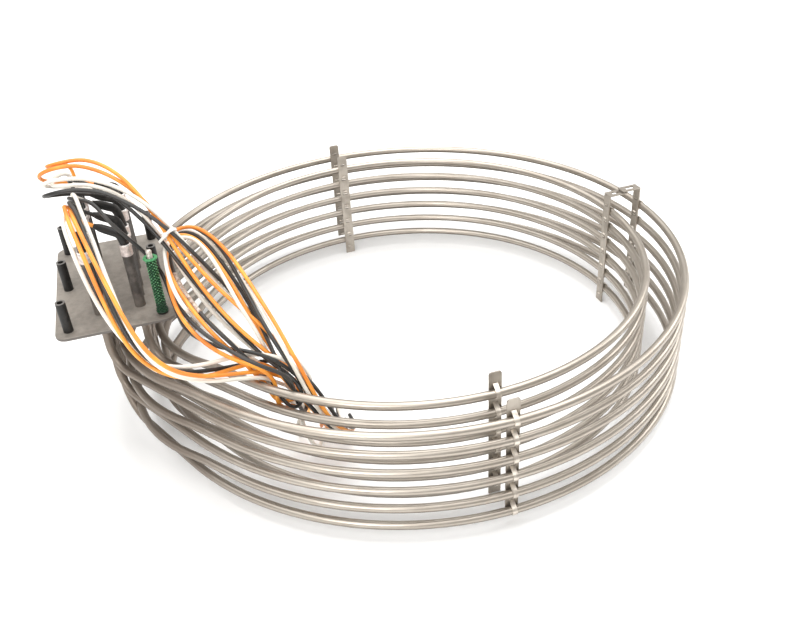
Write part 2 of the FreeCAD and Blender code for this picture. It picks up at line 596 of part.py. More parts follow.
# Leads: from a boot's end, over or round the flange, to the floor inside the coil
LEADS = {
    "lead_black_1": [(-407, 21, 374), (-423, 15, 381), (-441, 10, 386), (-456, 1, 391), (-464, -13, 397),
        (-461, -28, 404), (-448, -38, 410), (-429, -42, 413), (-408, -46, 411), (-385, -52, 406),
        (-365, -62, 396), (-343, -75, 383), (-322, -89, 366), (-301, -104, 344), (-280, -120, 317),
        (-258, -135, 285), (-235, -151, 250), (-213, -167, 215), (-194, -184, 182), (-180, -201, 153),
        (-174.9, -223.5, 130.4), (-179.9, -242.5, 120), (-187.2, -258.9, 126.9), (-194.2, -267.5, 151.5),
        (-197.4, -273.8, 183.1), (-202, -280, 207), (-217, -285, 225), (-236, -282, 237),
        (-258, -268, 248), (-281, -244, 258), (-302, -214, 267), (-318, -177, 277), (-325, -134, 289),
        (-326, -89, 300), (-321, -51, 307), (-311, -25, 310), (-296, -18, 309), (-279, -22, 306),
        (-264, -47, 299), (-251, -83, 287), (-238, -125, 273), (-227, -166, 255),
        (-218.4, -201.3, 237.5), (-212, -232, 218), (-208.2, -256.3, 197.4), (-198, -266.5, 177.3),
        (-181, -271, 151), (-167, -274, 124), (-154.8, -273.7, 102.2), (-142.6, -265.8, 81.6),
        (-134.2, -249.9, 63.9), (-128.5, -229.6, 50.6), (-123.8, -213.5, 38.2), (-119.8, -196.2, 28.6),
        (-116.3, -176, 28)],
    "lead_black_2": [(-428, 27, 372), (-428, 27, 389), (-431, 18, 403), (-430, 3, 411), (-420, -11, 412),
        (-405, -22, 409), (-388, -32, 401), (-370, -43, 390), (-353, -58, 374), (-335, -77, 354),
        (-319, -98, 331), (-302, -123, 304), (-283, -151, 277), (-262, -180, 250),
        (-240.6, -208.5, 225.9), (-218.8, -234.4, 204.8), (-197.7, -255.6, 192.4),
        (-187.7, -272.1, 179.6), (-188.4, -277.9, 167.3), (-192.7, -276.9, 156.2), (-199, -271, 149),
        (-205, -263, 147), (-213, -249, 152), (-221.7, -231.3, 176.7), (-233.1, -237.6, 197.5),
        (-248.2, -245, 224.7), (-266.5, -236.1, 252.4), (-286, -214, 272), (-302, -180, 286),
        (-314, -135, 294), (-319, -83, 298), (-316, -36, 299), (-305, -7, 300), (-289, 0, 301),
        (-272, -5, 302), (-256, -34, 301), (-243, -80, 295), (-234, -131, 284), (-225, -178, 268),
        (-216, -216, 250), (-205, -243, 229), (-194, -260, 206), (-184, -267, 180), (-174, -269, 152),
        (-163, -268, 123), (-151.2, -266.8, 102), (-140.9, -257.5, 82.1), (-134.6, -240.7, 65.7),
        (-130.8, -220.9, 52.4), (-128.7, -198.5, 39.7), (-125.4, -173.3, 30.5), (-122, -149.2, 30.3)],
    "lead_black_3": [(-405, -52, 377), (-421, -51, 385), (-427, -57, 400), (-429, -72, 409),
        (-420, -98, 407), (-413, -135, 389), (-406, -174, 364), (-400, -210, 335), (-390, -239, 305),
        (-376, -256, 277), (-356, -262, 252), (-329, -256, 233), (-297, -242, 218), (-263, -226, 205),
        (-230, -216, 197), (-204, -218, 191), (-185, -236, 185), (-172, -255, 175), (-162, -270, 160),
        (-153, -279, 139), (-142.5, -281.3, 116.1), (-129.6, -274, 96.8), (-119.8, -259.4, 78.9),
        (-114.3, -239.2, 66.1), (-111.5, -223.9, 56.7), (-110.2, -207.9, 47.1), (-111.5, -189.4, 45.6)],
    "lead_black_4": [(-428, -27, 372), (-428, -27, 390), (-431.6, -40.6, 401.7), (-421.9, -59.1, 404.5),
        (-400.3, -72.1, 405.3), (-383, -99, 383), (-368, -97, 358), (-353.6, -92.7, 334.8),
        (-340.2, -97.1, 312.5), (-331.6, -105.9, 294.8), (-326.5, -139.1, 271.6),
        (-323.5, -163.1, 264.9), (-319, -189, 257), (-302, -212, 248), (-278, -227, 239),
        (-253, -233, 233), (-230, -242, 226), (-209, -250, 213), (-192, -256, 195), (-178, -261, 173),
        (-168, -263, 148), (-151.2, -260.5, 111.3), (-141.5, -252.8, 90.7), (-136.2, -236.6, 73.3),
        (-134.4, -216.6, 59.3), (-132.9, -192.9, 45.2), (-131.7, -166.4, 35.2), (-129.9, -142.5, 34)],
    "lead_orange_1": [(-404, 70, 368), (-421, 68, 376), (-440, 61, 383), (-456, 49, 390),
        (-467, 36, 401), (-468, 21, 414), (-455, 9, 424), (-435, 2, 429), (-411, -5, 430),
        (-385, -14, 421), (-360, -27, 406), (-338, -46, 386), (-321, -70, 363), (-306, -97, 339),
        (-288, -128, 316), (-267, -159, 292), (-242, -187, 268), (-215, -209, 242),
        (-197.5, -220.7, 210.6), (-187.2, -219, 178.1), (-183.2, -229.6, 149.3), (-191.3, -240.6, 137.2),
        (-198.7, -246.7, 134.4), (-206.8, -251.9, 136), (-214.6, -256.2, 142.9), (-220.7, -258.5, 156.7),
        (-216.8, -253.6, 184.4), (-231.8, -251.6, 209.4), (-259.8, -247.1, 225.6),
        (-285.9, -233.5, 240.7), (-308, -215, 261), (-322, -185, 279), (-327, -145, 294),
        (-325, -100, 305), (-319, -57, 313), (-308, -26, 317), (-290, -17, 317), (-272, -23, 315),
        (-254, -52, 310), (-238, -94, 301), (-225, -141, 289), (-214, -184, 274), (-203, -219, 256),
        (-194, -245, 235), (-185, -262, 211), (-177, -272, 186), (-168, -278, 158), (-158, -282, 131),
        (-146.6, -282, 109.8), (-133.8, -274.7, 90.5), (-123.8, -259.9, 72.6), (-117.8, -239.6, 59.9),
        (-113.6, -226.1, 49.7), (-110.9, -212.8, 40.2), (-110, -196.1, 39)],
    "lead_orange_2": [(-428, 83, 372), (-428, 83, 389), (-433, 72, 404), (-443, 58, 411),
        (-453, 43, 416), (-455, 26, 423), (-444, 12, 430), (-425, 6, 434), (-403, 1, 435),
        (-380, -10, 428), (-358, -27, 413), (-340, -50, 392), (-324, -76, 366), (-311, -102, 338),
        (-297, -129, 309), (-280, -157, 281), (-259, -187, 254), (-235.8, -214.5, 231.6),
        (-212, -233, 209), (-190.3, -245.7, 188.7), (-181.8, -251.3, 173.8), (-182.2, -253, 162.9),
        (-189.7, -251.9, 150.5), (-205.9, -249.8, 145.4), (-216, -247, 147), (-223.6, -242.7, 153.5),
        (-228.2, -236.3, 169.7), (-242.9, -240.6, 198.3), (-257, -241, 225), (-276.8, -231.4, 251.6),
        (-292.3, -214.4, 270.6), (-307, -186, 289), (-319, -150, 302), (-324, -110, 312),
        (-322, -74, 318), (-313, -49, 320), (-298, -41, 318), (-282, -45, 313), (-268, -67, 305),
        (-256, -99, 293), (-244, -136, 277), (-234, -169, 256), (-223, -192, 231), (-212, -206, 205),
        (-200, -219, 175), (-185.9, -222.8, 144), (-181.9, -227.2, 121.1), (-153.6, -224.4, 103.7),
        (-157.6, -214.2, 80.3), (-164.9, -201.3, 70.6), (-166.9, -180.3, 51.2), (-167.3, -157.2, 33.7),
        (-164.6, -129.1, 26.5)],
    "lead_orange_3": [(-428, -55, 372), (-428, -55, 390), (-435.9, -67.2, 402.6), (-433.1, -90.4, 408.8),
        (-430, -117, 404), (-423, -147, 387), (-415, -179, 361), (-406, -210, 332), (-396, -236, 301),
        (-382, -254, 272), (-360, -262, 247), (-332, -260, 227), (-299, -250, 215), (-265, -237, 210),
        (-236, -231, 207), (-217, -238, 198), (-206, -246, 183), (-195.6, -245.9, 160.6),
        (-183, -245, 136), (-164.7, -251.1, 105.7), (-156.4, -245.8, 82.9), (-152.3, -230.6, 64),
        (-149.2, -213.6, 47.2), (-145.6, -189.3, 30.6), (-141.1, -161.5, 20.3), (-137.2, -135.8, 18.2)],
    "lead_orange_4": [(-406, -73, 370), (-422, -68, 377), (-430.5, -72.3, 393.3), (-428, -92, 406),
        (-420, -128.8, 399.6), (-408.3, -179.2, 382.3), (-395, -226, 359), (-382, -264, 330),
        (-368, -286, 301), (-350, -294, 275), (-326, -289, 252), (-298, -276, 233), (-268, -260, 217),
        (-239, -246, 203), (-216, -239, 187), (-197, -237, 171), (-182, -236, 154), (-170, -233, 133),
        (-159.6, -238.4, 107.8), (-157.1, -231.1, 84.9), (-157.6, -215.1, 66), (-157, -200.2, 47.6),
        (-155.1, -183.7, 30.7), (-151.5, -162.6, 22.1)],
    "lead_white_1": [(-405, 43, 371), (-422, 41, 379), (-440, 36, 386), (-454, 25, 393), (-462, 11, 402),
        (-460, -5, 412), (-447, -16, 419), (-428, -23, 421), (-406, -29, 420), (-382, -38, 414),
        (-359, -51, 404), (-336, -66, 388), (-316, -82, 367), (-298, -98, 340), (-281, -115, 311),
        (-263, -135, 279), (-241, -157, 249), (-219, -178.1, 219.9), (-188.9, -202.4, 195.3),
        (-167.5, -235.3, 172.6), (-170.5, -242.5, 149.9), (-177.1, -241, 139), (-184.1, -238.6, 134.1),
        (-191.7, -236, 132.7), (-201.2, -231.8, 134.9), (-215.5, -224.9, 147.5), (-222.5, -224.7, 185.2),
        (-236.9, -227.3, 208.3), (-256, -210, 222), (-274, -193, 238), (-288, -170, 253),
        (-315.2, -168.9, 272.9), (-321.7, -126.2, 282.7), (-326.7, -80, 294.5), (-322, -38, 303),
        (-311, -12, 307), (-295, -5, 307), (-277, -10, 304), (-260, -39, 296), (-243, -82, 287),
        (-230, -131, 277), (-218, -178, 265), (-209, -218, 251), (-200, -247, 233), (-192, -265, 212),
        (-184, -273, 186), (-175, -277, 158), (-164, -278, 129), (-152, -278.2, 107.1),
        (-139.5, -271.4, 87.5), (-129.8, -256.7, 69.3), (-124, -237, 56.5), (-119.3, -220.3, 45.1),
        (-115.9, -203, 34.7), (-113.4, -182.7, 32.8)],
    "lead_white_2": [(-428, 55, 372), (-428, 55, 388), (-433, 45, 401), (-441, 31, 407), (-449, 15, 408),
        (-452, -2, 408), (-445, -17, 411), (-430, -27, 413), (-411, -33, 414), (-390, -38, 409),
        (-368, -45, 397), (-348, -55, 379), (-332, -70, 355), (-318, -91, 329), (-305, -118, 300),
        (-289, -148, 272), (-268, -178, 245), (-243.1, -202.6, 219.6), (-212.1, -231.1, 195.6),
        (-189.2, -258.9, 180.8), (-184.5, -261.2, 160.9), (-188, -257.9, 149.2), (-192.9, -253.9, 143.3),
        (-199, -248.1, 140.6), (-205.7, -240.4, 142), (-219.1, -231.5, 152.9), (-232.7, -231, 186.7),
        (-247, -228, 205), (-265, -218, 221), (-284, -201, 240), (-298, -177, 255), (-314, -195, 292),
        (-323, -159, 306), (-325, -120, 317), (-323, -86, 324), (-313, -67, 325), (-298, -61, 324),
        (-282, -66, 321), (-270, -89, 315), (-260, -125, 306), (-251, -162, 292),
        (-242.3, -194.3, 274.7), (-229, -209.6, 245.1), (-218.2, -220.6, 206), (-198.2, -229.7, 180.1),
        (-191, -229, 146), (-185, -231, 114), (-188.8, -239.3, 91.6), (-183.5, -241.3, 67.7),
        (-178.1, -230.6, 45.9), (-171.4, -218.3, 25.8), (-164, -206.3, 13.7), (-156, -188.9, 13.2),
        (-147.5, -169.3, 12.8)],
    "lead_white_3": [(-428, -83, 372), (-428, -83, 390), (-434, -94.2, 401.4), (-437.9, -112, 400.7),
        (-434.3, -138.7, 387.6), (-427, -170, 361), (-416, -201, 330), (-401, -228, 299),
        (-382, -246, 273), (-359, -254, 252), (-331, -251, 238), (-298, -242, 229), (-265, -233, 225),
        (-233, -234, 222), (-207, -244, 217), (-188, -254, 203), (-177, -264, 183), (-169, -270, 158),
        (-159, -271, 130), (-147, -268.6, 108.5), (-135.9, -259.3, 88), (-129.4, -242.7, 71.3),
        (-126.4, -222.1, 59), (-124.3, -201.1, 46.5), (-123.1, -178.5, 37.6), (-121.7, -155.9, 37.2)],
    "lead_white_4": [(-404, -30, 384), (-420, -31, 393), (-425.2, -42.7, 406.7), (-419.1, -62.2, 411.9),
        (-415, -92, 405), (-407, -130, 387), (-400, -171, 363), (-392, -210, 336), (-384, -241, 309),
        (-372, -264, 282), (-354, -277, 259), (-329, -280, 240), (-298, -275, 224), (-264, -263, 210),
        (-231, -250.3, 194.6), (-215.3, -240.7, 174.5), (-199, -228, 154), (-191, -221, 130),
        (-174.1, -211.2, 104.8), (-191.4, -217.3, 79.9), (-192.1, -207, 57.5), (-190.4, -197.3, 35),
        (-186.1, -174.8, 14.8), (-179.4, -146.1, 14.4), (-175.1, -122.4, 14.2)],
}


def cord_radii(points):
    """Each bend's radius, as large as its two runs allow."""
    radii = []
    for before, corner, after in zip(points, points[1:], points[2:]):
        shorter = min((corner - before).Length, (after - corner).Length)
        turn = (corner - before).getAngle(after - corner)
        radii.append(0.45 * shorter / math.tan(turn / 2))
    return radii


for name, places in LEADS.items():
    points = [V(*place) + moved for place in places]
    radii = cord_radii(points)
    edges = bent_edges(points, radii)
    lead = swept_tube(name, edges, "Sizes.lead_d")
    doc.recompute()
    drawn = math.pi * size("lead_d") ** 2 / 4 * sum(edge.Length for edge in edges)
    if abs(lead.Shape.Volume / drawn - 1) > 0.01:
        raise RuntimeError(f"{name} isn't a plain tube")
    print(f"{name}: length {sum(edge.Length for edge in edges):.0f}, smallest radius {min(radii):.1f}")
    nodes.append(lead)


# Ribbed sleeve: a thin clear tube pushed over one black lead, where it turns back beside the flange
SLEEVED = ("lead_black_2", 28, 29)
lead_name, first, last = SLEEVED
route = [V(*place) + moved for place in LEADS[lead_name]]
bends = cord_radii(route)[first - 1:last]
ends = [(route[index] + route[index + 1]) * 0.5 for index in (first - 1, last)]
stretch = [ends[0]] + route[first:last + 1] + [ends[1]]
ribbed = doc.addObject("Part::Cut", "ribbed_sleeve")
ribbed.Base = swept_tube("ribbed_outside", bent_edges(stretch, bends), "Sizes.ribbed_d")
ribbed.Tool = swept_tube("ribbed_bore", bent_edges(stretch, bends), "Sizes.lead_d + Sizes.ribbed_clear")
nodes.append(ribbed)


# Tie: a band pulled round the six leads that come over the back, its outline in its own plane
TIE_AT, TIE_ALONG = V(-315, -94, 347), V(0.44712, -0.57616, -0.68419)
TIE_OUTLINE = [(2.7, 13.1), (-4.3, 11.4), (-7.0, 9.2), (-7.4, 6.9), (-0.3, -13.5), (0.6, -14.8),
               (2.5, -15.7), (9.7, -15.7), (11.2, -15.1), (12.5, -13.1), (12.5, -11.6), (9.5, 3.7),
               (6.9, 11.5), (5.1, 13.0)]


def grown(points, distance):
    """An outline moved outward on every side; its corners run anticlockwise."""
    corners = []
    for before, corner, after in zip(points[-1:] + points[:-1], points, points[1:] + points[:1]):
        sides = []
        for first, last in ((before, corner), (corner, after)):
            run = V(last[0] - first[0], last[1] - first[1], 0).normalize()
            sides.append(V(run.y, -run.x, 0))
        out = sides[0] + sides[1]
        out = out * (2 * distance / out.dot(out))
        corners.append((corner[0] + out.x, corner[1] + out.y))
    return corners


tie = doc.addObject("PartDesign::Body", "lead_tie")
tie.Label = "lead_tie"
band = new_sketch(tie, "tie_outline", "XY_Plane")
add_polygon(band, TIE_OUTLINE)
add_polygon(band, grown(TIE_OUTLINE, size("tie_thick")))
pad(tie, band, "Sizes.tie_wide", midplane=True)
tie.Placement = FreeCAD.Placement(TIE_AT + moved, FreeCAD.Rotation(V(0, 0, 1), TIE_ALONG))
nodes.append(tie)


# Check every object, then write one file for each piece
doc.recompute()
for item in doc.Objects:
    if "Invalid" in item.State or "Error" in item.State:
        raise RuntimeError(f"{item.Label} failed: {item.State}")
for node in nodes:
    if node.Shape.isNull() or not node.Shape.isValid() or not node.Shape.Solids:
        raise RuntimeError(f"{node.Label} has no valid solid")

os.makedirs("parts", exist_ok=True)
for node in nodes:
    node.Shape.exportStep(f"parts/{node.Label}.step")
    print(f"{node.Label}: {len(node.Shape.Solids)} solids, {node.Shape.Volume / 1000:.1f} cm3")
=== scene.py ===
"""Looks for the tubular heating element: six sheathed tubes wound as an outer and an inner coil, with
their ends in one flange plate and twelve leads. Metres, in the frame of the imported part.
"""
import math

import bmesh
import bpy
from mathutils import Matrix, Vector, noise


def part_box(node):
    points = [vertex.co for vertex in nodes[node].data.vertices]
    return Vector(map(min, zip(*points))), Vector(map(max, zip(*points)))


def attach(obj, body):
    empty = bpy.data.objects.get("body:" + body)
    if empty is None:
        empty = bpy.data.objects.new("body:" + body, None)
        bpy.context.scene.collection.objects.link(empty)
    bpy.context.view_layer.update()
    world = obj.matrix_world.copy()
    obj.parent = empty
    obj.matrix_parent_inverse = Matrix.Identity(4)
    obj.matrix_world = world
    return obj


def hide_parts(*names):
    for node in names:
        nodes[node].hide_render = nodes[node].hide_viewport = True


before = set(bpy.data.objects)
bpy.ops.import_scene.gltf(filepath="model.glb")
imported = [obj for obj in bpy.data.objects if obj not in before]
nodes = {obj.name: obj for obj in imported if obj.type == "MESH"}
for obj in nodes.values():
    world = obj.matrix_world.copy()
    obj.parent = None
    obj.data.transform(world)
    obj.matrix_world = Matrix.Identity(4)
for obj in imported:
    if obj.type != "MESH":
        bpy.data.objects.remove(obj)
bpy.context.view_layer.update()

scene = bpy.context.scene


# Camera: stands in front of the coils and to their left, nearly twice as high as the leads reach, and
# looks down over the near rim. Its place and lens were worked out from the two round coils.
camera_data = bpy.data.cameras.new("camera")
camera_data.lens, camera_data.sensor_width = 39.8945, 36
camera = bpy.data.objects.new("camera", camera_data)
camera.location = (-0.29749, -1.20567, 0.90474)
camera.rotation_euler = [math.radians(turn) for turn in (55.9668, 3.0898, -17.1848)]
scene.collection.objects.link(camera)
scene.camera = camera


# Leads: twelve single wires in soft insulation, four orange, four white and four black. Each is crimped
# into the tip of a boot, and from there they run in two loose bundles and turn down inside the coils.
LEAD_DIAMETER = 0.0055
LEADS = {
    "lead_black_1": [(-0.407, 0.021, 0.374), (-0.423, 0.015, 0.381), (-0.441, 0.01, 0.386),
        (-0.456, 0.001, 0.391), (-0.464, -0.013, 0.397), (-0.461, -0.028, 0.404), (-0.448, -0.038, 0.41),
        (-0.429, -0.042, 0.413), (-0.408, -0.046, 0.411), (-0.385, -0.052, 0.406), (-0.365, -0.062, 0.396),
        (-0.343, -0.075, 0.383), (-0.322, -0.089, 0.366), (-0.301, -0.104, 0.344), (-0.28, -0.12, 0.317),
        (-0.258, -0.135, 0.285), (-0.235, -0.151, 0.25), (-0.213, -0.167, 0.215), (-0.194, -0.184, 0.182),
        (-0.18, -0.201, 0.153), (-0.1749, -0.2235, 0.1304), (-0.1799, -0.2425, 0.12),
        (-0.1872, -0.2589, 0.1269), (-0.1942, -0.2675, 0.1515), (-0.1974, -0.2738, 0.1831),
        (-0.202, -0.28, 0.207), (-0.217, -0.285, 0.225), (-0.236, -0.282, 0.237), (-0.258, -0.268, 0.248),
        (-0.281, -0.244, 0.258), (-0.302, -0.214, 0.267), (-0.318, -0.177, 0.277), (-0.325, -0.134, 0.289),
        (-0.326, -0.089, 0.3), (-0.321, -0.051, 0.307), (-0.311, -0.025, 0.31), (-0.296, -0.018, 0.309),
        (-0.279, -0.022, 0.306), (-0.264, -0.047, 0.299), (-0.251, -0.083, 0.287), (-0.238, -0.125, 0.273),
        (-0.227, -0.166, 0.255), (-0.2184, -0.2013, 0.2375), (-0.212, -0.232, 0.218),
        (-0.2082, -0.2563, 0.1974), (-0.198, -0.2665, 0.1773), (-0.181, -0.271, 0.151),
        (-0.167, -0.274, 0.124), (-0.1548, -0.2737, 0.1022), (-0.1426, -0.2658, 0.0816),
        (-0.1342, -0.2499, 0.0639), (-0.1285, -0.2296, 0.0506), (-0.1238, -0.2135, 0.0382),
        (-0.1198, -0.1962, 0.0286), (-0.1163, -0.176, 0.028)],
    "lead_black_2": [(-0.428, 0.027, 0.372), (-0.428, 0.027, 0.389), (-0.431, 0.018, 0.403),
        (-0.43, 0.003, 0.411), (-0.42, -0.011, 0.412), (-0.405, -0.022, 0.409), (-0.388, -0.032, 0.401),
        (-0.37, -0.043, 0.39), (-0.353, -0.058, 0.374), (-0.335, -0.077, 0.354), (-0.319, -0.098, 0.331),
        (-0.302, -0.123, 0.304), (-0.283, -0.151, 0.277), (-0.262, -0.18, 0.25),
        (-0.2406, -0.2085, 0.2259), (-0.2188, -0.2344, 0.2048), (-0.1977, -0.2556, 0.1924),
        (-0.1877, -0.2721, 0.1796), (-0.1884, -0.2779, 0.1673), (-0.1927, -0.2769, 0.1562),
        (-0.199, -0.271, 0.149), (-0.205, -0.263, 0.147), (-0.213, -0.249, 0.152),
        (-0.2217, -0.2313, 0.1767), (-0.2331, -0.2376, 0.1975), (-0.2482, -0.245, 0.2247),
        (-0.2665, -0.2361, 0.2524), (-0.286, -0.214, 0.272), (-0.302, -0.18, 0.286),
        (-0.314, -0.135, 0.294), (-0.319, -0.083, 0.298), (-0.316, -0.036, 0.299), (-0.305, -0.007, 0.3),
        (-0.289, 0, 0.301), (-0.272, -0.005, 0.302), (-0.256, -0.034, 0.301), (-0.243, -0.08, 0.295),
        (-0.234, -0.131, 0.284), (-0.225, -0.178, 0.268), (-0.216, -0.216, 0.25), (-0.205, -0.243, 0.229),
        (-0.194, -0.26, 0.206), (-0.184, -0.267, 0.18), (-0.174, -0.269, 0.152), (-0.163, -0.268, 0.123),
        (-0.1512, -0.2668, 0.102), (-0.1409, -0.2575, 0.0821), (-0.1346, -0.2407, 0.0657),
        (-0.1308, -0.2209, 0.0524), (-0.1287, -0.1985, 0.0397), (-0.1254, -0.1733, 0.0305),
        (-0.122, -0.1492, 0.0303)],
    "lead_black_3": [(-0.405, -0.052, 0.377), (-0.421, -0.051, 0.385), (-0.427, -0.057, 0.4),
        (-0.429, -0.072, 0.409), (-0.42, -0.098, 0.407), (-0.413, -0.135, 0.389), (-0.406, -0.174, 0.364),
        (-0.4, -0.21, 0.335), (-0.39, -0.239, 0.305), (-0.376, -0.256, 0.277), (-0.356, -0.262, 0.252),
        (-0.329, -0.256, 0.233), (-0.297, -0.242, 0.218), (-0.263, -0.226, 0.205), (-0.23, -0.216, 0.197),
        (-0.204, -0.218, 0.191), (-0.185, -0.236, 0.185), (-0.172, -0.255, 0.175), (-0.162, -0.27, 0.16),
        (-0.153, -0.279, 0.139), (-0.1425, -0.2813, 0.1161), (-0.1296, -0.274, 0.0968),
        (-0.1198, -0.2594, 0.0789), (-0.1143, -0.2392, 0.0661), (-0.1115, -0.2239, 0.0567),
        (-0.1102, -0.2079, 0.0471), (-0.1115, -0.1894, 0.0456)],
    "lead_black_4": [(-0.428, -0.027, 0.372), (-0.428, -0.027, 0.39), (-0.4316, -0.0406, 0.4017),
        (-0.4219, -0.0591, 0.4045), (-0.4003, -0.0721, 0.4053), (-0.383, -0.099, 0.383),
        (-0.368, -0.097, 0.358), (-0.3536, -0.0927, 0.3348), (-0.3402, -0.0971, 0.3125),
        (-0.3316, -0.1059, 0.2948), (-0.3265, -0.1391, 0.2716), (-0.3235, -0.1631, 0.2649),
        (-0.319, -0.189, 0.257), (-0.302, -0.212, 0.248), (-0.278, -0.227, 0.239), (-0.253, -0.233, 0.233),
        (-0.23, -0.242, 0.226), (-0.209, -0.25, 0.213), (-0.192, -0.256, 0.195), (-0.178, -0.261, 0.173),
        (-0.168, -0.263, 0.148), (-0.1512, -0.2605, 0.1113), (-0.1415, -0.2528, 0.0907),
        (-0.1362, -0.2366, 0.0733), (-0.1344, -0.2166, 0.0593), (-0.1329, -0.1929, 0.0452),
        (-0.1317, -0.1664, 0.0352), (-0.1299, -0.1425, 0.034)],
    "lead_orange_1": [(-0.404, 0.07, 0.368), (-0.421, 0.068, 0.376), (-0.44, 0.061, 0.383),
        (-0.456, 0.049, 0.39), (-0.467, 0.036, 0.401), (-0.468, 0.021, 0.414), (-0.455, 0.009, 0.424),
        (-0.435, 0.002, 0.429), (-0.411, -0.005, 0.43), (-0.385, -0.014, 0.421), (-0.36, -0.027, 0.406),
        (-0.338, -0.046, 0.386), (-0.321, -0.07, 0.363), (-0.306, -0.097, 0.339), (-0.288, -0.128, 0.316),
        (-0.267, -0.159, 0.292), (-0.242, -0.187, 0.268), (-0.215, -0.209, 0.242),
        (-0.1975, -0.2207, 0.2106), (-0.1872, -0.219, 0.1781), (-0.1832, -0.2296, 0.1493),
        (-0.1913, -0.2406, 0.1372), (-0.1987, -0.2467, 0.1344), (-0.2068, -0.2519, 0.136),
        (-0.2146, -0.2562, 0.1429), (-0.2207, -0.2585, 0.1567), (-0.2168, -0.2536, 0.1844),
        (-0.2318, -0.2516, 0.2094), (-0.2598, -0.2471, 0.2256), (-0.2859, -0.2335, 0.2407),
        (-0.308, -0.215, 0.261), (-0.322, -0.185, 0.279), (-0.327, -0.145, 0.294), (-0.325, -0.1, 0.305),
        (-0.319, -0.057, 0.313), (-0.308, -0.026, 0.317), (-0.29, -0.017, 0.317), (-0.272, -0.023, 0.315),
        (-0.254, -0.052, 0.31), (-0.238, -0.094, 0.301), (-0.225, -0.141, 0.289), (-0.214, -0.184, 0.274),
        (-0.203, -0.219, 0.256), (-0.194, -0.245, 0.235), (-0.185, -0.262, 0.211), (-0.177, -0.272, 0.186),
        (-0.168, -0.278, 0.158), (-0.158, -0.282, 0.131), (-0.1466, -0.282, 0.1098),
        (-0.1338, -0.2747, 0.0905), (-0.1238, -0.2599, 0.0726), (-0.1178, -0.2396, 0.0599),
        (-0.1136, -0.2261, 0.0497), (-0.1109, -0.2128, 0.0402), (-0.11, -0.1961, 0.039)],
    "lead_orange_2": [(-0.428, 0.083, 0.372), (-0.428, 0.083, 0.389), (-0.433, 0.072, 0.404),
        (-0.443, 0.058, 0.411), (-0.453, 0.043, 0.416), (-0.455, 0.026, 0.423), (-0.444, 0.012, 0.43),
        (-0.425, 0.006, 0.434), (-0.403, 0.001, 0.435), (-0.38, -0.01, 0.428), (-0.358, -0.027, 0.413),
        (-0.34, -0.05, 0.392), (-0.324, -0.076, 0.366), (-0.311, -0.102, 0.338), (-0.297, -0.129, 0.309),
        (-0.28, -0.157, 0.281), (-0.259, -0.187, 0.254), (-0.2358, -0.2145, 0.2316),
        (-0.212, -0.233, 0.209), (-0.1903, -0.2457, 0.1887), (-0.1818, -0.2513, 0.1738),
        (-0.1822, -0.253, 0.1629), (-0.1897, -0.2519, 0.1505), (-0.2059, -0.2498, 0.1454),
        (-0.216, -0.247, 0.147), (-0.2236, -0.2427, 0.1535), (-0.2282, -0.2363, 0.1697),
        (-0.2429, -0.2406, 0.1983), (-0.257, -0.241, 0.225), (-0.2768, -0.2314, 0.2516),
        (-0.2923, -0.2144, 0.2706), (-0.307, -0.186, 0.289), (-0.319, -0.15, 0.302),
        (-0.324, -0.11, 0.312), (-0.322, -0.074, 0.318), (-0.313, -0.049, 0.32), (-0.298, -0.041, 0.318),
        (-0.282, -0.045, 0.313), (-0.268, -0.067, 0.305), (-0.256, -0.099, 0.293), (-0.244, -0.136, 0.277),
        (-0.234, -0.169, 0.256), (-0.223, -0.192, 0.231), (-0.212, -0.206, 0.205), (-0.2, -0.219, 0.175),
        (-0.1859, -0.2228, 0.144), (-0.1819, -0.2272, 0.1211), (-0.1536, -0.2244, 0.1037),
        (-0.1576, -0.2142, 0.0803), (-0.1649, -0.2013, 0.0706), (-0.1669, -0.1803, 0.0512),
        (-0.1673, -0.1572, 0.0337), (-0.1646, -0.1291, 0.0265)],
    "lead_orange_3": [(-0.428, -0.055, 0.372), (-0.428, -0.055, 0.39), (-0.4359, -0.0672, 0.4026),
        (-0.4331, -0.0904, 0.4088), (-0.43, -0.117, 0.404), (-0.423, -0.147, 0.387),
        (-0.415, -0.179, 0.361), (-0.406, -0.21, 0.332), (-0.396, -0.236, 0.301), (-0.382, -0.254, 0.272),
        (-0.36, -0.262, 0.247), (-0.332, -0.26, 0.227), (-0.299, -0.25, 0.215), (-0.265, -0.237, 0.21),
        (-0.236, -0.231, 0.207), (-0.217, -0.238, 0.198), (-0.206, -0.246, 0.183),
        (-0.1956, -0.2459, 0.1606), (-0.183, -0.245, 0.136), (-0.1647, -0.2511, 0.1057),
        (-0.1564, -0.2458, 0.0829), (-0.1523, -0.2306, 0.064), (-0.1492, -0.2136, 0.0472),
        (-0.1456, -0.1893, 0.0306), (-0.1411, -0.1615, 0.0203), (-0.1372, -0.1358, 0.0182)],
    "lead_orange_4": [(-0.406, -0.073, 0.37), (-0.422, -0.068, 0.377), (-0.4305, -0.0723, 0.3933),
        (-0.428, -0.092, 0.406), (-0.42, -0.1288, 0.3996), (-0.4083, -0.1792, 0.3823),
        (-0.395, -0.226, 0.359), (-0.382, -0.264, 0.33), (-0.368, -0.286, 0.301), (-0.35, -0.294, 0.275),
        (-0.326, -0.289, 0.252), (-0.298, -0.276, 0.233), (-0.268, -0.26, 0.217), (-0.239, -0.246, 0.203),
        (-0.216, -0.239, 0.187), (-0.197, -0.237, 0.171), (-0.182, -0.236, 0.154), (-0.17, -0.233, 0.133),
        (-0.1596, -0.2384, 0.1078), (-0.1571, -0.2311, 0.0849), (-0.1576, -0.2151, 0.066),
        (-0.157, -0.2002, 0.0476), (-0.1551, -0.1837, 0.0307), (-0.1515, -0.1626, 0.0221)],
    "lead_white_1": [(-0.405, 0.043, 0.371), (-0.422, 0.041, 0.379), (-0.44, 0.036, 0.386),
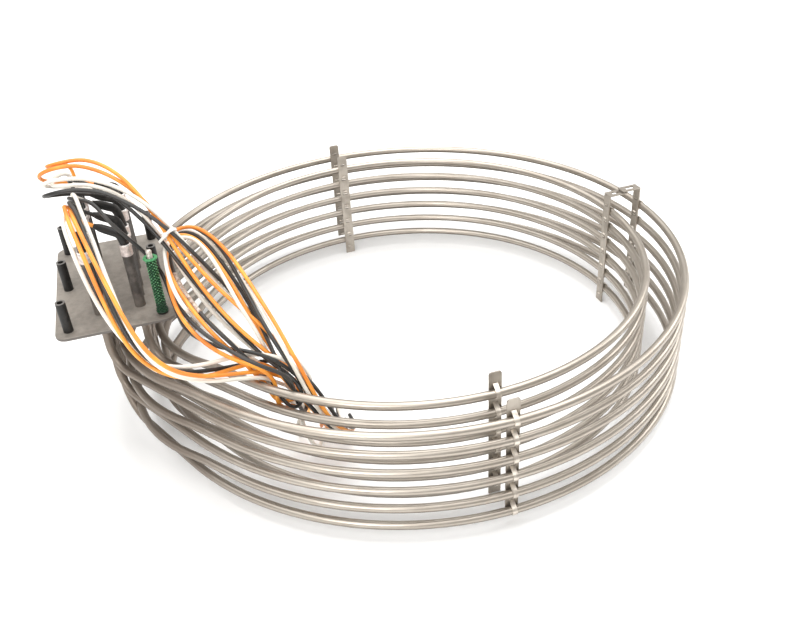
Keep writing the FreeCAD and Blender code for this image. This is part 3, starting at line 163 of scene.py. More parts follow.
        (-0.454, 0.025, 0.393), (-0.462, 0.011, 0.402), (-0.46, -0.005, 0.412), (-0.447, -0.016, 0.419),
        (-0.428, -0.023, 0.421), (-0.406, -0.029, 0.42), (-0.382, -0.038, 0.414), (-0.359, -0.051, 0.404),
        (-0.336, -0.066, 0.388), (-0.316, -0.082, 0.367), (-0.298, -0.098, 0.34), (-0.281, -0.115, 0.311),
        (-0.263, -0.135, 0.279), (-0.241, -0.157, 0.249), (-0.219, -0.1781, 0.2199),
        (-0.1889, -0.2024, 0.1953), (-0.1675, -0.2353, 0.1726), (-0.1705, -0.2425, 0.1499),
        (-0.1771, -0.241, 0.139), (-0.1841, -0.2386, 0.1341), (-0.1917, -0.236, 0.1327),
        (-0.2012, -0.2318, 0.1349), (-0.2155, -0.2249, 0.1475), (-0.2225, -0.2247, 0.1852),
        (-0.2369, -0.2273, 0.2083), (-0.256, -0.21, 0.222), (-0.274, -0.193, 0.238),
        (-0.288, -0.17, 0.253), (-0.3152, -0.1689, 0.2729), (-0.3217, -0.1262, 0.2827),
        (-0.3267, -0.08, 0.2945), (-0.322, -0.038, 0.303), (-0.311, -0.012, 0.307),
        (-0.295, -0.005, 0.307), (-0.277, -0.01, 0.304), (-0.26, -0.039, 0.296), (-0.243, -0.082, 0.287),
        (-0.23, -0.131, 0.277), (-0.218, -0.178, 0.265), (-0.209, -0.218, 0.251), (-0.2, -0.247, 0.233),
        (-0.192, -0.265, 0.212), (-0.184, -0.273, 0.186), (-0.175, -0.277, 0.158), (-0.164, -0.278, 0.129),
        (-0.152, -0.2782, 0.1071), (-0.1395, -0.2714, 0.0875), (-0.1298, -0.2567, 0.0693),
        (-0.124, -0.237, 0.0565), (-0.1193, -0.2203, 0.0451), (-0.1159, -0.203, 0.0347),
        (-0.1134, -0.1827, 0.0328)],
    "lead_white_2": [(-0.428, 0.055, 0.372), (-0.428, 0.055, 0.388), (-0.433, 0.045, 0.401),
        (-0.441, 0.031, 0.407), (-0.449, 0.015, 0.408), (-0.452, -0.002, 0.408), (-0.445, -0.017, 0.411),
        (-0.43, -0.027, 0.413), (-0.411, -0.033, 0.414), (-0.39, -0.038, 0.409), (-0.368, -0.045, 0.397),
        (-0.348, -0.055, 0.379), (-0.332, -0.07, 0.355), (-0.318, -0.091, 0.329), (-0.305, -0.118, 0.3),
        (-0.289, -0.148, 0.272), (-0.268, -0.178, 0.245), (-0.2431, -0.2026, 0.2196),
        (-0.2121, -0.2311, 0.1956), (-0.1892, -0.2589, 0.1808), (-0.1845, -0.2612, 0.1609),
        (-0.188, -0.2579, 0.1492), (-0.1929, -0.2539, 0.1433), (-0.199, -0.2481, 0.1406),
        (-0.2057, -0.2404, 0.142), (-0.2191, -0.2315, 0.1529), (-0.2327, -0.231, 0.1867),
        (-0.247, -0.228, 0.205), (-0.265, -0.218, 0.221), (-0.284, -0.201, 0.24), (-0.298, -0.177, 0.255),
        (-0.314, -0.195, 0.292), (-0.323, -0.159, 0.306), (-0.325, -0.12, 0.317), (-0.323, -0.086, 0.324),
        (-0.313, -0.067, 0.325), (-0.298, -0.061, 0.324), (-0.282, -0.066, 0.321), (-0.27, -0.089, 0.315),
        (-0.26, -0.125, 0.306), (-0.251, -0.162, 0.292), (-0.2423, -0.1943, 0.2747),
        (-0.229, -0.2096, 0.2451), (-0.2182, -0.2206, 0.206), (-0.1982, -0.2297, 0.1801),
        (-0.191, -0.229, 0.146), (-0.185, -0.231, 0.114), (-0.1888, -0.2393, 0.0916),
        (-0.1835, -0.2413, 0.0677), (-0.1781, -0.2306, 0.0459), (-0.1714, -0.2183, 0.0258),
        (-0.164, -0.2063, 0.0137), (-0.156, -0.1889, 0.0132), (-0.1475, -0.1693, 0.0128)],
    "lead_white_3": [(-0.428, -0.083, 0.372), (-0.428, -0.083, 0.39), (-0.434, -0.0942, 0.4014),
        (-0.4379, -0.112, 0.4007), (-0.4343, -0.1387, 0.3876), (-0.427, -0.17, 0.361),
        (-0.416, -0.201, 0.33), (-0.401, -0.228, 0.299), (-0.382, -0.246, 0.273), (-0.359, -0.254, 0.252),
        (-0.331, -0.251, 0.238), (-0.298, -0.242, 0.229), (-0.265, -0.233, 0.225), (-0.233, -0.234, 0.222),
        (-0.207, -0.244, 0.217), (-0.188, -0.254, 0.203), (-0.177, -0.264, 0.183), (-0.169, -0.27, 0.158),
        (-0.159, -0.271, 0.13), (-0.147, -0.2686, 0.1085), (-0.1359, -0.2593, 0.088),
        (-0.1294, -0.2427, 0.0713), (-0.1264, -0.2221, 0.059), (-0.1243, -0.2011, 0.0465),
        (-0.1231, -0.1785, 0.0376), (-0.1217, -0.1559, 0.0372)],
    "lead_white_4": [(-0.404, -0.03, 0.384), (-0.42, -0.031, 0.393), (-0.4252, -0.0427, 0.4067),
        (-0.4191, -0.0622, 0.4119), (-0.415, -0.092, 0.405), (-0.407, -0.13, 0.387), (-0.4, -0.171, 0.363),
        (-0.392, -0.21, 0.336), (-0.384, -0.241, 0.309), (-0.372, -0.264, 0.282), (-0.354, -0.277, 0.259),
        (-0.329, -0.28, 0.24), (-0.298, -0.275, 0.224), (-0.264, -0.263, 0.21), (-0.231, -0.2503, 0.1946),
        (-0.2153, -0.2407, 0.1745), (-0.199, -0.228, 0.154), (-0.191, -0.221, 0.13),
        (-0.1741, -0.2112, 0.1048), (-0.1914, -0.2173, 0.0799), (-0.1921, -0.207, 0.0575),
        (-0.1904, -0.1973, 0.035), (-0.1861, -0.1748, 0.0148), (-0.1794, -0.1461, 0.0144),
        (-0.1751, -0.1224, 0.0142)],
}


class Amount:
    """A number that varies over a surface; arithmetic on it adds the Math nodes."""

    def __init__(self, finish, socket):
        self.finish, self.socket = finish, socket

    def __add__(self, other):
        return self.finish.maths("ADD", self, other)

    def __radd__(self, other):
        return self.finish.maths("ADD", other, self)

    def __sub__(self, other):
        return self.finish.maths("SUBTRACT", self, other)

    def __rsub__(self, other):
        return self.finish.maths("SUBTRACT", other, self)

    def __mul__(self, other):
        return self.finish.maths("MULTIPLY", self, other)

    def __rmul__(self, other):
        return self.finish.maths("MULTIPLY", other, self)


class Finish:
    """One material: a Principled shader with its constants, and the nodes that feed it."""

    def __init__(self, name, **constants):
        self.material = bpy.data.materials.new(name)
        self.material.use_nodes = True
        self.tree = self.material.node_tree
        self.shader = self.tree.nodes["Principled BSDF"]
        for socket, value in constants.items():
            self.shader.inputs[socket.replace("_", " ")].default_value = value

    def node(self, kind, settings=None, inputs=None, output=0):
        """Adds a node, sets its settings, then its sockets, and gives one of its outputs."""
        made = self.tree.nodes.new(kind)
        for name, value in (settings or {}).items():
            setattr(made, name, value)
        for name, value in (inputs or {}).items():
            self.feed(made.inputs[name], value)
        return Amount(self, made.outputs[output])

    def feed(self, socket, value):
        """Links a socket to a node's output, or sets it to a plain value."""
        if isinstance(value, Amount):
            self.tree.links.new(value.socket, socket)
        elif hasattr(value, "__len__") and len(value) == 3 and socket.type == "RGBA":
            socket.default_value = (*value, 1)
        else:
            socket.default_value = value

    def maths(self, operation, *values):
        """A Math node on numbers."""
        return self.node("ShaderNodeMath", {"operation": operation}, dict(enumerate(values)))

    def ease(self, value, low, high):
        """0 below low, 1 above high, and a smooth step between them."""
        return self.node("ShaderNodeMapRange", {"interpolation_type": "SMOOTHSTEP"},
                         {"Value": value, "From Min": low, "From Max": high})

    def point(self):
        """The point on the surface."""
        return self.node("ShaderNodeTexCoord", output="Object")

    def along(self, axis, vector):
        """X, Y or Z of a vector."""
        return self.node("ShaderNodeSeparateXYZ", inputs={0: vector}, output=axis)

    def grain(self, vector, scale, detail=3.0, roughness=0.5):
        """Noise around 0.5, its scale in features per metre."""
        return self.node("ShaderNodeTexNoise", inputs={"Vector": vector, "Scale": scale,
                                                       "Detail": detail, "Roughness": roughness})

    def blend(self, amount, first, second):
        """Two colours mixed by an amount from 0 to 1."""
        settings = {"data_type": "RGBA", "clamp_factor": True}
        return self.node("ShaderNodeMix", settings, {0: amount, 6: first, 7: second}, output=2)

    def relief(self, height, strength, distance):
        """A bump from a height."""
        self.feed(self.shader.inputs["Normal"],
                  self.node("ShaderNodeBump", inputs={"Strength": strength, "Distance": distance,
                                                      "Height": height}))

    def surface(self, colour, roughness):
        """Feeds the shader's colour and roughness."""
        self.feed(self.shader.inputs["Base Color"], colour)
        self.feed(self.shader.inputs["Roughness"], roughness)


def lead_finish(name, colour, shade, gloss, coat):
    """Soft insulation: its colour drifts along the wire, with a fine grain and some dust."""
    finish = Finish(name, Coat_Roughness=0.3, Specular_IOR_Level=0.45)
    point = finish.point()
    drift = finish.ease(finish.grain(point, 22), 0.36, 0.66)
    dust = finish.ease(finish.grain(point, 420, 5, 0.65), 0.55, 0.78)
    finish.surface(finish.blend(0.75 * drift + 0.3 * dust, colour, shade),
                   gloss + 0.16 * drift + 0.1 * dust)
    finish.shader.inputs["Coat Weight"].default_value = coat
    finish.relief(finish.grain(point, 1500, 4), 0.12, 0.0003)
    return finish


LEAD_FINISHES = {
    "orange": lead_finish("orange_insulation", (0.95, 0.39, 0.05), (0.78, 0.2, 0.025), 0.34, 0.2),
    "white": lead_finish("white_insulation", (0.88, 0.85, 0.78), (0.74, 0.68, 0.58), 0.38, 0.2),
    "black": lead_finish("black_insulation", (0.016, 0.015, 0.014), (0.045, 0.042, 0.038), 0.32, 0.2),
}


def round_curve(name, routes, diameter, smooth=6, sides=4):
    """A round curve with one spline for each route of (x, y, z) or (x, y, z, share of the diameter).

    Its bevel is 1, so that the radius of a point is the real one.
    """
    curve = bpy.data.curves.new(name, "CURVE")
    curve.dimensions = "3D"
    curve.bevel_depth, curve.bevel_resolution = 1, sides
    curve.resolution_u, curve.use_fill_caps = smooth, True
    for route in routes:
        spline = curve.splines.new("NURBS")
        spline.points.add(len(route) - 1)
        for point, (x, y, z, *width) in zip(spline.points, route):
            point.co = (x, y, z, 1)
            point.radius = (width[0] if width else 1) * diameter / 2
        spline.order_u = 3
        spline.use_endpoint_u = True
    piece = bpy.data.objects.new(name, curve)
    scene.collection.objects.link(piece)
    return piece


def dress(piece, finish, slot=None, stands_for=()):
    """Gives a piece its material; with a slot it is also attached to the root body, and the parts it stands
    for are hidden.
    """
    piece.data.materials.clear()
    piece.data.materials.append(finish.material)
    if slot:
        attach(piece, "root")
    for node in stands_for:
        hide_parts(node)
    return piece


leads = {}
for name, points in LEADS.items():
    _, colour, number = name.split("_")
    lead = round_curve(f"{colour}_lead_{number}", [points], LEAD_DIAMETER)
    leads[name] = dress(lead, LEAD_FINISHES[colour], f"lead_{colour}", [name])


# Tie: a white nylon band pulled tight round the six leads that come over the back, with its lock on
# top and the end of the band left on.
TIE_PLACE, TIE_AXIS = Vector((-0.315, -0.094, 0.347)), Vector((0.44712, -0.57616, -0.68419))
TIE_OUTLINE = [(0.0027, 0.0131), (-0.0043, 0.0114), (-0.007, 0.0092), (-0.0074, 0.0069), (-0.0003, -0.0135),
               (0.0006, -0.0148), (0.0025, -0.0157), (0.0097, -0.0157), (0.0112, -0.0151),
               (0.0125, -0.0131), (0.0125, -0.0116), (0.0095, 0.0037), (0.0069, 0.0115), (0.0051, 0.013)]
TIE_THICK, TIE_WIDE, TIE_GAP = 0.0011, 0.0038, 0.00005
TIE_SECTION = ((0.12, -1), (0.0, -0.8), (0.0, 0.8), (0.12, 1), (0.88, 1), (1, 0.8), (1, -0.8), (0.88, -1))
LOCK_SIZE, LOCK_ROUND, LOCK_LIFT = (0.0062, 0.0042, 0.0062), 0.0008, 0.0026
TAIL_SIZE, TAIL_ROUND, TAIL_REACH = (0.013, 0.0011, 0.0036), 0.0004, 0.009
nylon = Finish("white_nylon", Specular_IOR_Level=0.5)
point = nylon.point()
cloud = nylon.grain(point, 160)
nylon.surface(nylon.blend(cloud, (0.9, 0.89, 0.86), (0.78, 0.76, 0.72)), 0.3 + 0.2 * cloud)
nylon.relief(nylon.grain(point, 900), 0.15, 0.0003)


def mesh_piece(name, mesh):
    """Puts a bmesh into the scene as a smooth shaded piece."""
    data = bpy.data.meshes.new(name)
    bmesh.ops.recalc_face_normals(mesh, faces=mesh.faces)
    mesh.to_mesh(data)
    mesh.free()
    data.shade_smooth()
    piece = bpy.data.objects.new(name, data)
    scene.collection.objects.link(piece)
    return piece


def closed_sweep(mesh, rings):
    """Joins rings of places into a skin that closes on itself both ways."""
    made = [[mesh.verts.new(place) for place in ring] for ring in rings]
    for ring, after in zip(made, made[1:] + made[:1]):
        for index in range(len(ring)):
            following = (index + 1) % len(ring)
            mesh.faces.new((ring[index], after[index], after[following], ring[following]))


def rounded_block(mesh, place, turned, size, bevel):
    """A block with rounded edges, in a frame of its own."""
    made = bmesh.ops.create_cube(mesh, size=1, matrix=Matrix.Translation(place) @ turned.to_4x4()
                                 @ Matrix.Diagonal((*size, 1)))["verts"]
    edges = {edge for vert in made for edge in vert.link_edges}
    bmesh.ops.bevel(mesh, geom=list(edges), offset=bevel, segments=3, affect="EDGES", profile=0.6)


turned = Vector((0, 0, 1)).rotation_difference(TIE_AXIS).to_matrix()
mesh = bmesh.new()
rings = []
count = len(TIE_OUTLINE)
for index in range(count):
    before, corner, after = (Vector(TIE_OUTLINE[(index + step) % count]) for step in (-1, 0, 1))
    for share in (0.25, 0, -0.25):
        middle = corner.lerp(before if share > 0 else after, abs(share))
        along = ((after - before) if share == 0 else
                 (corner - before) if share > 0 else (after - corner)).normalized()
        out = Vector((along.y, -along.x))
        ring = []
        for across, up in TIE_SECTION:
            flat = middle + out * (across * TIE_THICK + TIE_GAP)
            ring.append(TIE_PLACE + turned @ Vector((flat.x, flat.y, up * TIE_WIDE / 2)))
        rings.append(ring)
closed_sweep(mesh, rings)
flat_start, flat_end = Vector(TIE_OUTLINE[3]), Vector(TIE_OUTLINE[4])
side = (flat_start - flat_end).normalized()
lock_turn = turned @ Matrix.Rotation(math.atan2(side.y, side.x), 3, "Z")
lock_middle = flat_start.lerp(flat_end, 0.3) + Vector((-side.y, side.x)) * LOCK_LIFT
rounded_block(mesh, TIE_PLACE + turned @ lock_middle.to_3d(), lock_turn, LOCK_SIZE, LOCK_ROUND)
tail_middle = lock_middle + side * TAIL_REACH
rounded_block(mesh, TIE_PLACE + turned @ tail_middle.to_3d(), lock_turn, TAIL_SIZE, TAIL_ROUND)
tie = dress(mesh_piece("nylon_tie", mesh), nylon, "tie_plastic", ["lead_tie"])


# Ribbed sleeve: a short clear corrugated tube slipped over one black lead, in the stretch where the
# back bundle comes down beside the flange.
RIB_STEP, RIB_HIGH, RIB_BORE, RIB_WALL = 0.0022, 0.00045, 0.00275, 0.00017
RIBBED_SHARE = 0.93
PLACES_PER_RIB, RIBBED_SIDES = 6, 16
clear_plastic = Finish("clear_ribbed_plastic", Specular_IOR_Level=0.6)
point = clear_plastic.point()
stain = clear_plastic.ease(clear_plastic.grain(point, 240), 0.4, 0.62)
clear_plastic.surface(clear_plastic.blend(stain, (0.62, 0.56, 0.5), (0.3, 0.2, 0.14)), 0.2 + 0.2 * stain)
clear_plastic.relief(clear_plastic.grain(point, 800), 0.2, 0.0003)


def spline_places(piece):
    """The places along a curve's own line."""
    bevel = piece.data.bevel_depth
    piece.data.bevel_depth = 0
    data = bpy.data.meshes.new_from_object(piece)
    piece.data.bevel_depth = bevel
    places = [vert.co.copy() for vert in data.vertices]
    bpy.data.meshes.remove(data)
    return places


def rings_along(places, widths, around):
    """Rings round a line, each with its own radius, without twist."""
    rings = []
    side = None
    for index, (place, width) in enumerate(zip(places, widths)):
        along = (places[min(index + 1, len(places) - 1)] - places[max(index - 1, 0)]).normalized()
        side = side or along.orthogonal()
        side = (side - along * side.dot(along)).normalized()
        up = along.cross(side)
        rings.append([place + side * (width * math.cos(turn)) + up * (width * math.sin(turn))
                      for turn in (2 * math.pi * step / around for step in range(around))])
    return rings


def even_line(places, step):
    """Places at an even step along a line."""
    line, carry = [places[0]], 0
    for first, last in zip(places, places[1:]):
        run = (last - first).length
        while carry + step <= run:
            carry += step
            line.append(first.lerp(last, carry / run))
        carry -= run
    return line


ribbed_low, ribbed_high = (Vector(corner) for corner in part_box("ribbed_sleeve"))
ribbed_middle = (ribbed_low + ribbed_high) / 2
line = even_line(spline_places(leads["lead_black_2"]), RIB_STEP / PLACES_PER_RIB)
later_half = range(len(line) // 2, len(line))
nearest = min(later_half, key=lambda index: (line[index] - ribbed_middle).length)
reach = int((ribbed_high - ribbed_low).length * PLACES_PER_RIB / 2 / RIB_STEP * RIBBED_SHARE)
inside = line[nearest - reach:nearest + reach]
widths = [RIB_BORE + RIB_WALL + RIB_HIGH * (0.5 - 0.5 * math.cos(2 * math.pi * step / PLACES_PER_RIB)) ** 0.7
          for step in range(len(inside))]
mesh = bmesh.new()
bore = [RIB_BORE] * len(inside)
outer, inner = rings_along(inside, widths, RIBBED_SIDES), rings_along(inside, bore, RIBBED_SIDES)
closed_sweep(mesh, outer + inner[::-1])
ribbed = dress(mesh_piece("ribbed_tube", mesh), clear_plastic, "sleeve_clear", ["ribbed_sleeve"])


# Boots: black rubber sleeves pushed into the ferrules over the tube tips. Those of the outer column
# stand straight, those of the inner column lean over outward, and each narrows onto its lead.
BOOT_DIAMETER = 0.012
ROWS = (0.083, 0.055, 0.027)
OUTER_X, INNER_X = (sum(corner.x for corner in map(Vector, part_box(f"{column}_end_sleeves"))) / 2
                    for column in ("outer", "inner"))
boot_low, boot_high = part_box("outer_boots")
BOOT_FOOT, BOOT_TOP = boot_low[2], boot_high[2]
STRAIGHT_TAPER = ((BOOT_FOOT, 1), (BOOT_TOP - 0.02, 1), (BOOT_TOP - 0.011, 1), (BOOT_TOP - 0.006, 0.8),
                  (BOOT_TOP - 0.003, 0.62), (BOOT_TOP, 0.56))
LEANING_TAPER = ((0.45, 1), (0.72, 0.98), (0.86, 0.78), (0.94, 0.62), (1, 0.56))
LEANING = {(-1, 0): (0.354, (-0.406, -0.073, 0.370)), (-1, 1): (0.360, (-0.405, -0.052, 0.377)),
           (-1, 2): (0.366, (-0.404, -0.030, 0.384)), (1, 2): (0.356, (-0.407, 0.021, 0.374)),
           (1, 1): (0.354, (-0.405, 0.043, 0.371)), (1, 0): (0.352, (-0.404, 0.070, 0.368))}
rubber = Finish("boot_rubber", Specular_IOR_Level=0.4)
point = rubber.point()
worn = rubber.ease(rubber.grain(point, 130, 5, 0.6), 0.45, 0.75)
rubber.surface(rubber.blend(worn, (0.01, 0.0095, 0.009), (0.034, 0.031, 0.028)), 0.42 + 0.22 * worn)
rubber.relief(rubber.grain(point, 700, 4) + 0.5 * rubber.grain(point, 2600), 0.2, 0.0004)
straight, leaning = [], []
for side in (-1, 1):
    for index, row in enumerate(ROWS):
        y = side * row
        straight.append([(OUTER_X, y, level, width) for level, width in STRAIGHT_TAPER])
        bend, tip = LEANING[(side, index)]
        corner, end = Vector((INNER_X, y, bend)), Vector(tip)
        route = [(INNER_X, y, BOOT_FOOT, 1), (*corner, 1)]
        route += [(*corner.lerp(end, share), width) for share, width in LEANING_TAPER]
        leaning.append(route)
for column, routes in (("outer", straight), ("inner", leaning)):
    boots = round_curve(f"{column}_rubber_boots", routes, BOOT_DIAMETER, 8, 6)
    dress(boots, rubber, "boot_rubber", [f"{column}_boots"])


# Ferrules: drawn metal cups pressed over the tube tips, with a rolled groove under a bright rim. They
# are dull below it from handling.
FERRULE_RADIUS, FERRULE_BORE = 0.008, 0.0061
GROOVE_AT, GROOVE_HALF, GROOVE_DEPTH = 0.89, 0.03, 0.0004
cup_low, cup_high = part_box("outer_ferrules")
FERRULE_FOOT, FERRULE_TOP = cup_low[2], cup_high[2]
ferrule_metal = Finish("ferrule_metal")
point = ferrule_metal.point()
height = ferrule_metal.along("Z", point)
dull = ferrule_metal.ease(ferrule_metal.grain(point, 260, 4), 0.35, 0.7)
rim = ferrule_metal.ease(height, FERRULE_TOP - 0.0027, FERRULE_TOP - 0.0013)
cup = ferrule_metal.blend(dull, (0.78, 0.69, 0.65), (0.56, 0.49, 0.46))
ferrule_metal.surface(ferrule_metal.blend(rim, cup, (0.93, 0.88, 0.85)), 0.46 - 0.2 * rim + 0.15 * dull)
ferrule_metal.feed(ferrule_metal.shader.inputs["Metallic"], 0.45 + 0.35 * rim)
ferrule_metal.relief(ferrule_metal.grain(point, 900), 0.1, 0.0003)


def turned_mesh(mesh, place, profile, around=32, wobble=0.0):
    """A closed profile of (radius, height) points turned about an upright axis at a place."""
    rings = []
    for step in range(around):
        turn = 2 * math.pi * step / around
        out = Vector((math.cos(turn), math.sin(turn), 0))
        ring = []
        for radius, height in profile:
            far = place + out * radius + Vector((0, 0, height))
            ring.append(far + out * (wobble * noise.noise(far * 900)) if wobble else far)
        rings.append(ring)
    closed_sweep(mesh, rings)


def softened(profile, reach):
    """A closed profile with each corner replaced by three points of a small round."""
    soft = []
    count = len(profile)
    for index, corner in enumerate(profile):
        corner = Vector(corner)
        before, after = Vector(profile[index - 1]), Vector(profile[(index + 1) % count])
        into = (before - corner).normalized() * min(reach, (before - corner).length * 0.4)
        out = (after - corner).normalized() * min(reach, (after - corner).length * 0.4)
        soft += [tuple(corner + into), tuple(corner + (into + out) * 0.29), tuple(corner + out)]
    return soft


ferrule_high = FERRULE_TOP - FERRULE_FOOT
cup_profile = softened([(FERRULE_BORE, 0), (FERRULE_RADIUS, 0),
                        (FERRULE_RADIUS, ferrule_high * (GROOVE_AT - GROOVE_HALF)),
                        (FERRULE_RADIUS - GROOVE_DEPTH, ferrule_high * GROOVE_AT),
                        (FERRULE_RADIUS, ferrule_high * (GROOVE_AT + GROOVE_HALF)),
                        (FERRULE_RADIUS, ferrule_high), (FERRULE_BORE, ferrule_high)], 0.0004)
for column, x in (("outer", OUTER_X), ("inner", INNER_X)):
    mesh = bmesh.new()
    for side in (-1, 1):
        for row in ROWS:
            turned_mesh(mesh, Vector((x, side * row, FERRULE_FOOT)), cup_profile)
    ferrules = mesh_piece(f"{column}_metal_ferrules", mesh)
    dress(ferrules, ferrule_metal, "ferrule_metal", [f"{column}_ferrules"])


# End sleeves: dark insulating tubes that cover the tube ends from the flange up to the ferrules. They
# are scuffed, and dusty at the foot.
DUST_LEVEL = 0.262
end_sleeve = Finish("dark_insulating_tube", Specular_IOR_Level=0.35)
point = end_sleeve.point()
height = end_sleeve.along("Z", point)
scuff = end_sleeve.ease(end_sleeve.grain(point, 90, 6, 0.65), 0.42, 0.72)
foot = end_sleeve.ease(DUST_LEVEL - height + 0.012 * end_sleeve.grain(point, 120), 0, 0.02)
sleeve_colour = end_sleeve.blend(scuff, (0.062, 0.054, 0.048), (0.125, 0.11, 0.098))
end_sleeve.surface(end_sleeve.blend(0.5 * foot, sleeve_colour, (0.2, 0.175, 0.15)), 0.5 + 0.2 * scuff)
end_sleeve.relief(end_sleeve.grain(point, 650, 5), 0.25, 0.0005)
for column in ("outer", "inner"):
    dress(nodes[f"{column}_end_sleeves"], end_sleeve)


# Studs: welded to the flange. Five short ones wear hollow rubber sleeves that stand over their tips,
# and the long one at the near inner corner has a rubber collar at its foot.
STUD_RADIUS, PLAIN_TIP, ROUNDED_TIP = 0.004, 0.004, 0.0025
THREAD_PITCH, THREAD_DEPTH, STEPS_PER_PITCH, STUD_SIDES = 0.00125, 0.00055, 6, 28
stud_low, stud_high = (Vector(corner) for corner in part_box("long_stud"))
sleeve_low, sleeve_high = (Vector(corner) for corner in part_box("mesh_sleeve"))
stud_middle = (sleeve_low + sleeve_high) / 2
LONG_STUD = Vector((stud_middle.x, stud_middle.y, stud_low.z))
SLEEVE_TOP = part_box("stud_sleeves")[1][2]
stud_steel = Finish("stud_steel", Metallic=0.75)
point = stud_steel.point()
dull = stud_steel.ease(stud_steel.grain(point, 300, 4), 0.35, 0.7)
stud_steel.surface(stud_steel.blend(dull, (0.7, 0.66, 0.61), (0.45, 0.42, 0.38)), 0.36 + 0.16 * dull)
stud_steel.relief(stud_steel.grain(point, 1200), 0.12, 0.0003)
dress(nodes["short_studs"], stud_steel)


def round_place(middle, radius, angle, level):
    """A place at an angle and a level round an upright axis."""
    return middle + Vector((radius * math.cos(angle), radius * math.sin(angle), level))


def capped_sweep(mesh, rings):
    """Joins rings of places into a skin with a flat cap on each end."""
    made = [[mesh.verts.new(place) for place in ring] for ring in rings]
    for ring, after in zip(made, made[1:]):
        for index in range(len(ring)):
            following = (index + 1) % len(ring)
            mesh.faces.new((ring[index], after[index], after[following], ring[following]))
    mesh.faces.new(made[0][::-1])
    mesh.faces.new(made[-1])


stud_length = stud_high.z - stud_low.z
steps = int(stud_length / THREAD_PITCH * STEPS_PER_PITCH)
rings = []
for step in range(steps + 1):
    level = stud_length * step / steps
    tip = max(0, level - (stud_length - ROUNDED_TIP)) / ROUNDED_TIP
    ring = []
    for side in range(STUD_SIDES):
        phase = (level / THREAD_PITCH - side / STUD_SIDES) % 1
        groove = THREAD_DEPTH * (1 - abs(2 * phase - 1)) if level < stud_length - PLAIN_TIP else 0
        radius = (STUD_RADIUS - groove) * math.sqrt(max(0.12, 1 - 0.8 * tip * tip))
        ring.append(round_place(LONG_STUD, radius, 2 * math.pi * side / STUD_SIDES, level))
    rings.append(ring)
mesh = bmesh.new()
capped_sweep(mesh, rings)
dress(mesh_piece("long_threaded_stud", mesh), stud_steel, "stud_steel", ["long_stud"])
black_sleeve = Finish("stud_sleeve_rubber", Specular_IOR_Level=0.4)
point = black_sleeve.point()
height = black_sleeve.along("Z", point)
bloom = black_sleeve.ease(black_sleeve.grain(point, 140, 5, 0.6), 0.4, 0.75)
cut_end = black_sleeve.ease(height, SLEEVE_TOP - 0.0013, SLEEVE_TOP - 0.0001)
sleeve_colour = black_sleeve.blend(bloom, (0.009, 0.0085, 0.008), (0.03, 0.027, 0.024))
sleeve_colour = black_sleeve.blend(0.8 * cut_end, sleeve_colour, (0.19, 0.18, 0.17))
black_sleeve.surface(sleeve_colour, 0.45 + 0.2 * bloom)
black_sleeve.relief(black_sleeve.grain(point, 800, 4), 0.2, 0.0004)
dress(nodes["stud_sleeves"], black_sleeve)
dress(nodes["stud_collar"], black_sleeve)


# Mesh sleeve: green plastic netting over the long stud, its strands crossed and welded in diamonds with
# a knot at each crossing. The top is melted into a pale disc, and the foot flares out on the collar.
MESH_RADIUS, MESH_BORE, MESH_LENGTH = 0.0067, 0.0051, sleeve_high.z - sleeve_low.z
STRANDS, STRAND_RADIUS, STRAND_TURN, KNOT_RADIUS = 8, 0.00045, 0.036, 0.0009
STRAND_SIDES, STRAND_STEPS, STRAND_WELD = 6, 90, 0.00012
HEAD_RADIUS, HEAD_THICK, HEAD_RIM = (sleeve_high.x - sleeve_low.x) / 2, 0.003, 0.0072
FLARE_RADIUS, FLARE_LENGTH, HEM_WIDE, HEM_HIGH = 0.0085, 0.009, 0.0012, 0.0011
CORE_LEVELS = (0.0002, 0.0015, 0.003, 0.005, 0.007, 0.009, 0.03, 0.055)
DARK_LEVEL = 0.266
netting = Finish("green_netting", Specular_IOR_Level=0.6)
point = netting.point()
height = netting.along("Z", point)
low_part = netting.ease(DARK_LEVEL - height, 0, 0.018)
# Strands: small lighter specks on the dark green, which are painted highlights.
painted_strand_glint = netting.ease(netting.grain(point, 430, 1), 0.56, 0.63)
strand_colour = netting.blend(painted_strand_glint, (0.006, 0.05, 0.014), (0.014, 0.085, 0.028))
netting.surface(netting.blend(0.35 * low_part, strand_colour, (0.01, 0.06, 0.03)), 0.34 + 0.2 * painted_strand_glint)
netting.relief(netting.grain(point, 1500), 0.15, 0.0003)
net_core = Finish("green_net_core", Specular_IOR_Level=0.3)
point = net_core.point()
dapple = net_core.ease(net_core.grain(point, 480, 3), 0.42, 0.62)
net_core.surface(net_core.blend(dapple, (0.004, 0.034, 0.014), (0.009, 0.07, 0.028)), 0.55 + 0.15 * dapple)
net_core.relief(net_core.grain(point, 1100, 3), 0.5, 0.0006)
# Knots: dark green with pale green patches, which are painted highlights; towards the foot they go nearly
# black.
knot_green = Finish("green_knots_painted_sheen", Specular_IOR_Level=0.5)
point = knot_green.point()
height = knot_green.along("Z", point)
painted_knot_highlight = knot_green.ease(knot_green.grain(point, 380, 1), 0.44, 0.56)
low_knots = knot_green.ease(DARK_LEVEL + 0.002 - height, 0, 0.012)
knot_colour = knot_green.blend(painted_knot_highlight, (0.012, 0.09, 0.03), (0.2, 0.55, 0.26))
knot_colour = knot_green.blend(0.9 * low_knots, knot_colour, (0.004, 0.02, 0.01))
knot_green.surface(knot_colour, 0.35 + 0.2 * painted_knot_highlight)
knot_green.relief(knot_green.grain(point, 1500), 0.1, 0.0002)
pale_green = Finish("melted_green", Specular_IOR_Level=0.45)
point = pale_green.point()
patch = pale_green.ease(pale_green.grain(point, 300, 4), 0.4, 0.68)
pale_green.surface(pale_green.blend(patch, (0.08, 0.31, 0.125), (0.035, 0.2, 0.08)), 0.4 + 0.2 * patch)
pale_green.relief(pale_green.grain(point, 700, 4), 0.4, 0.0006)


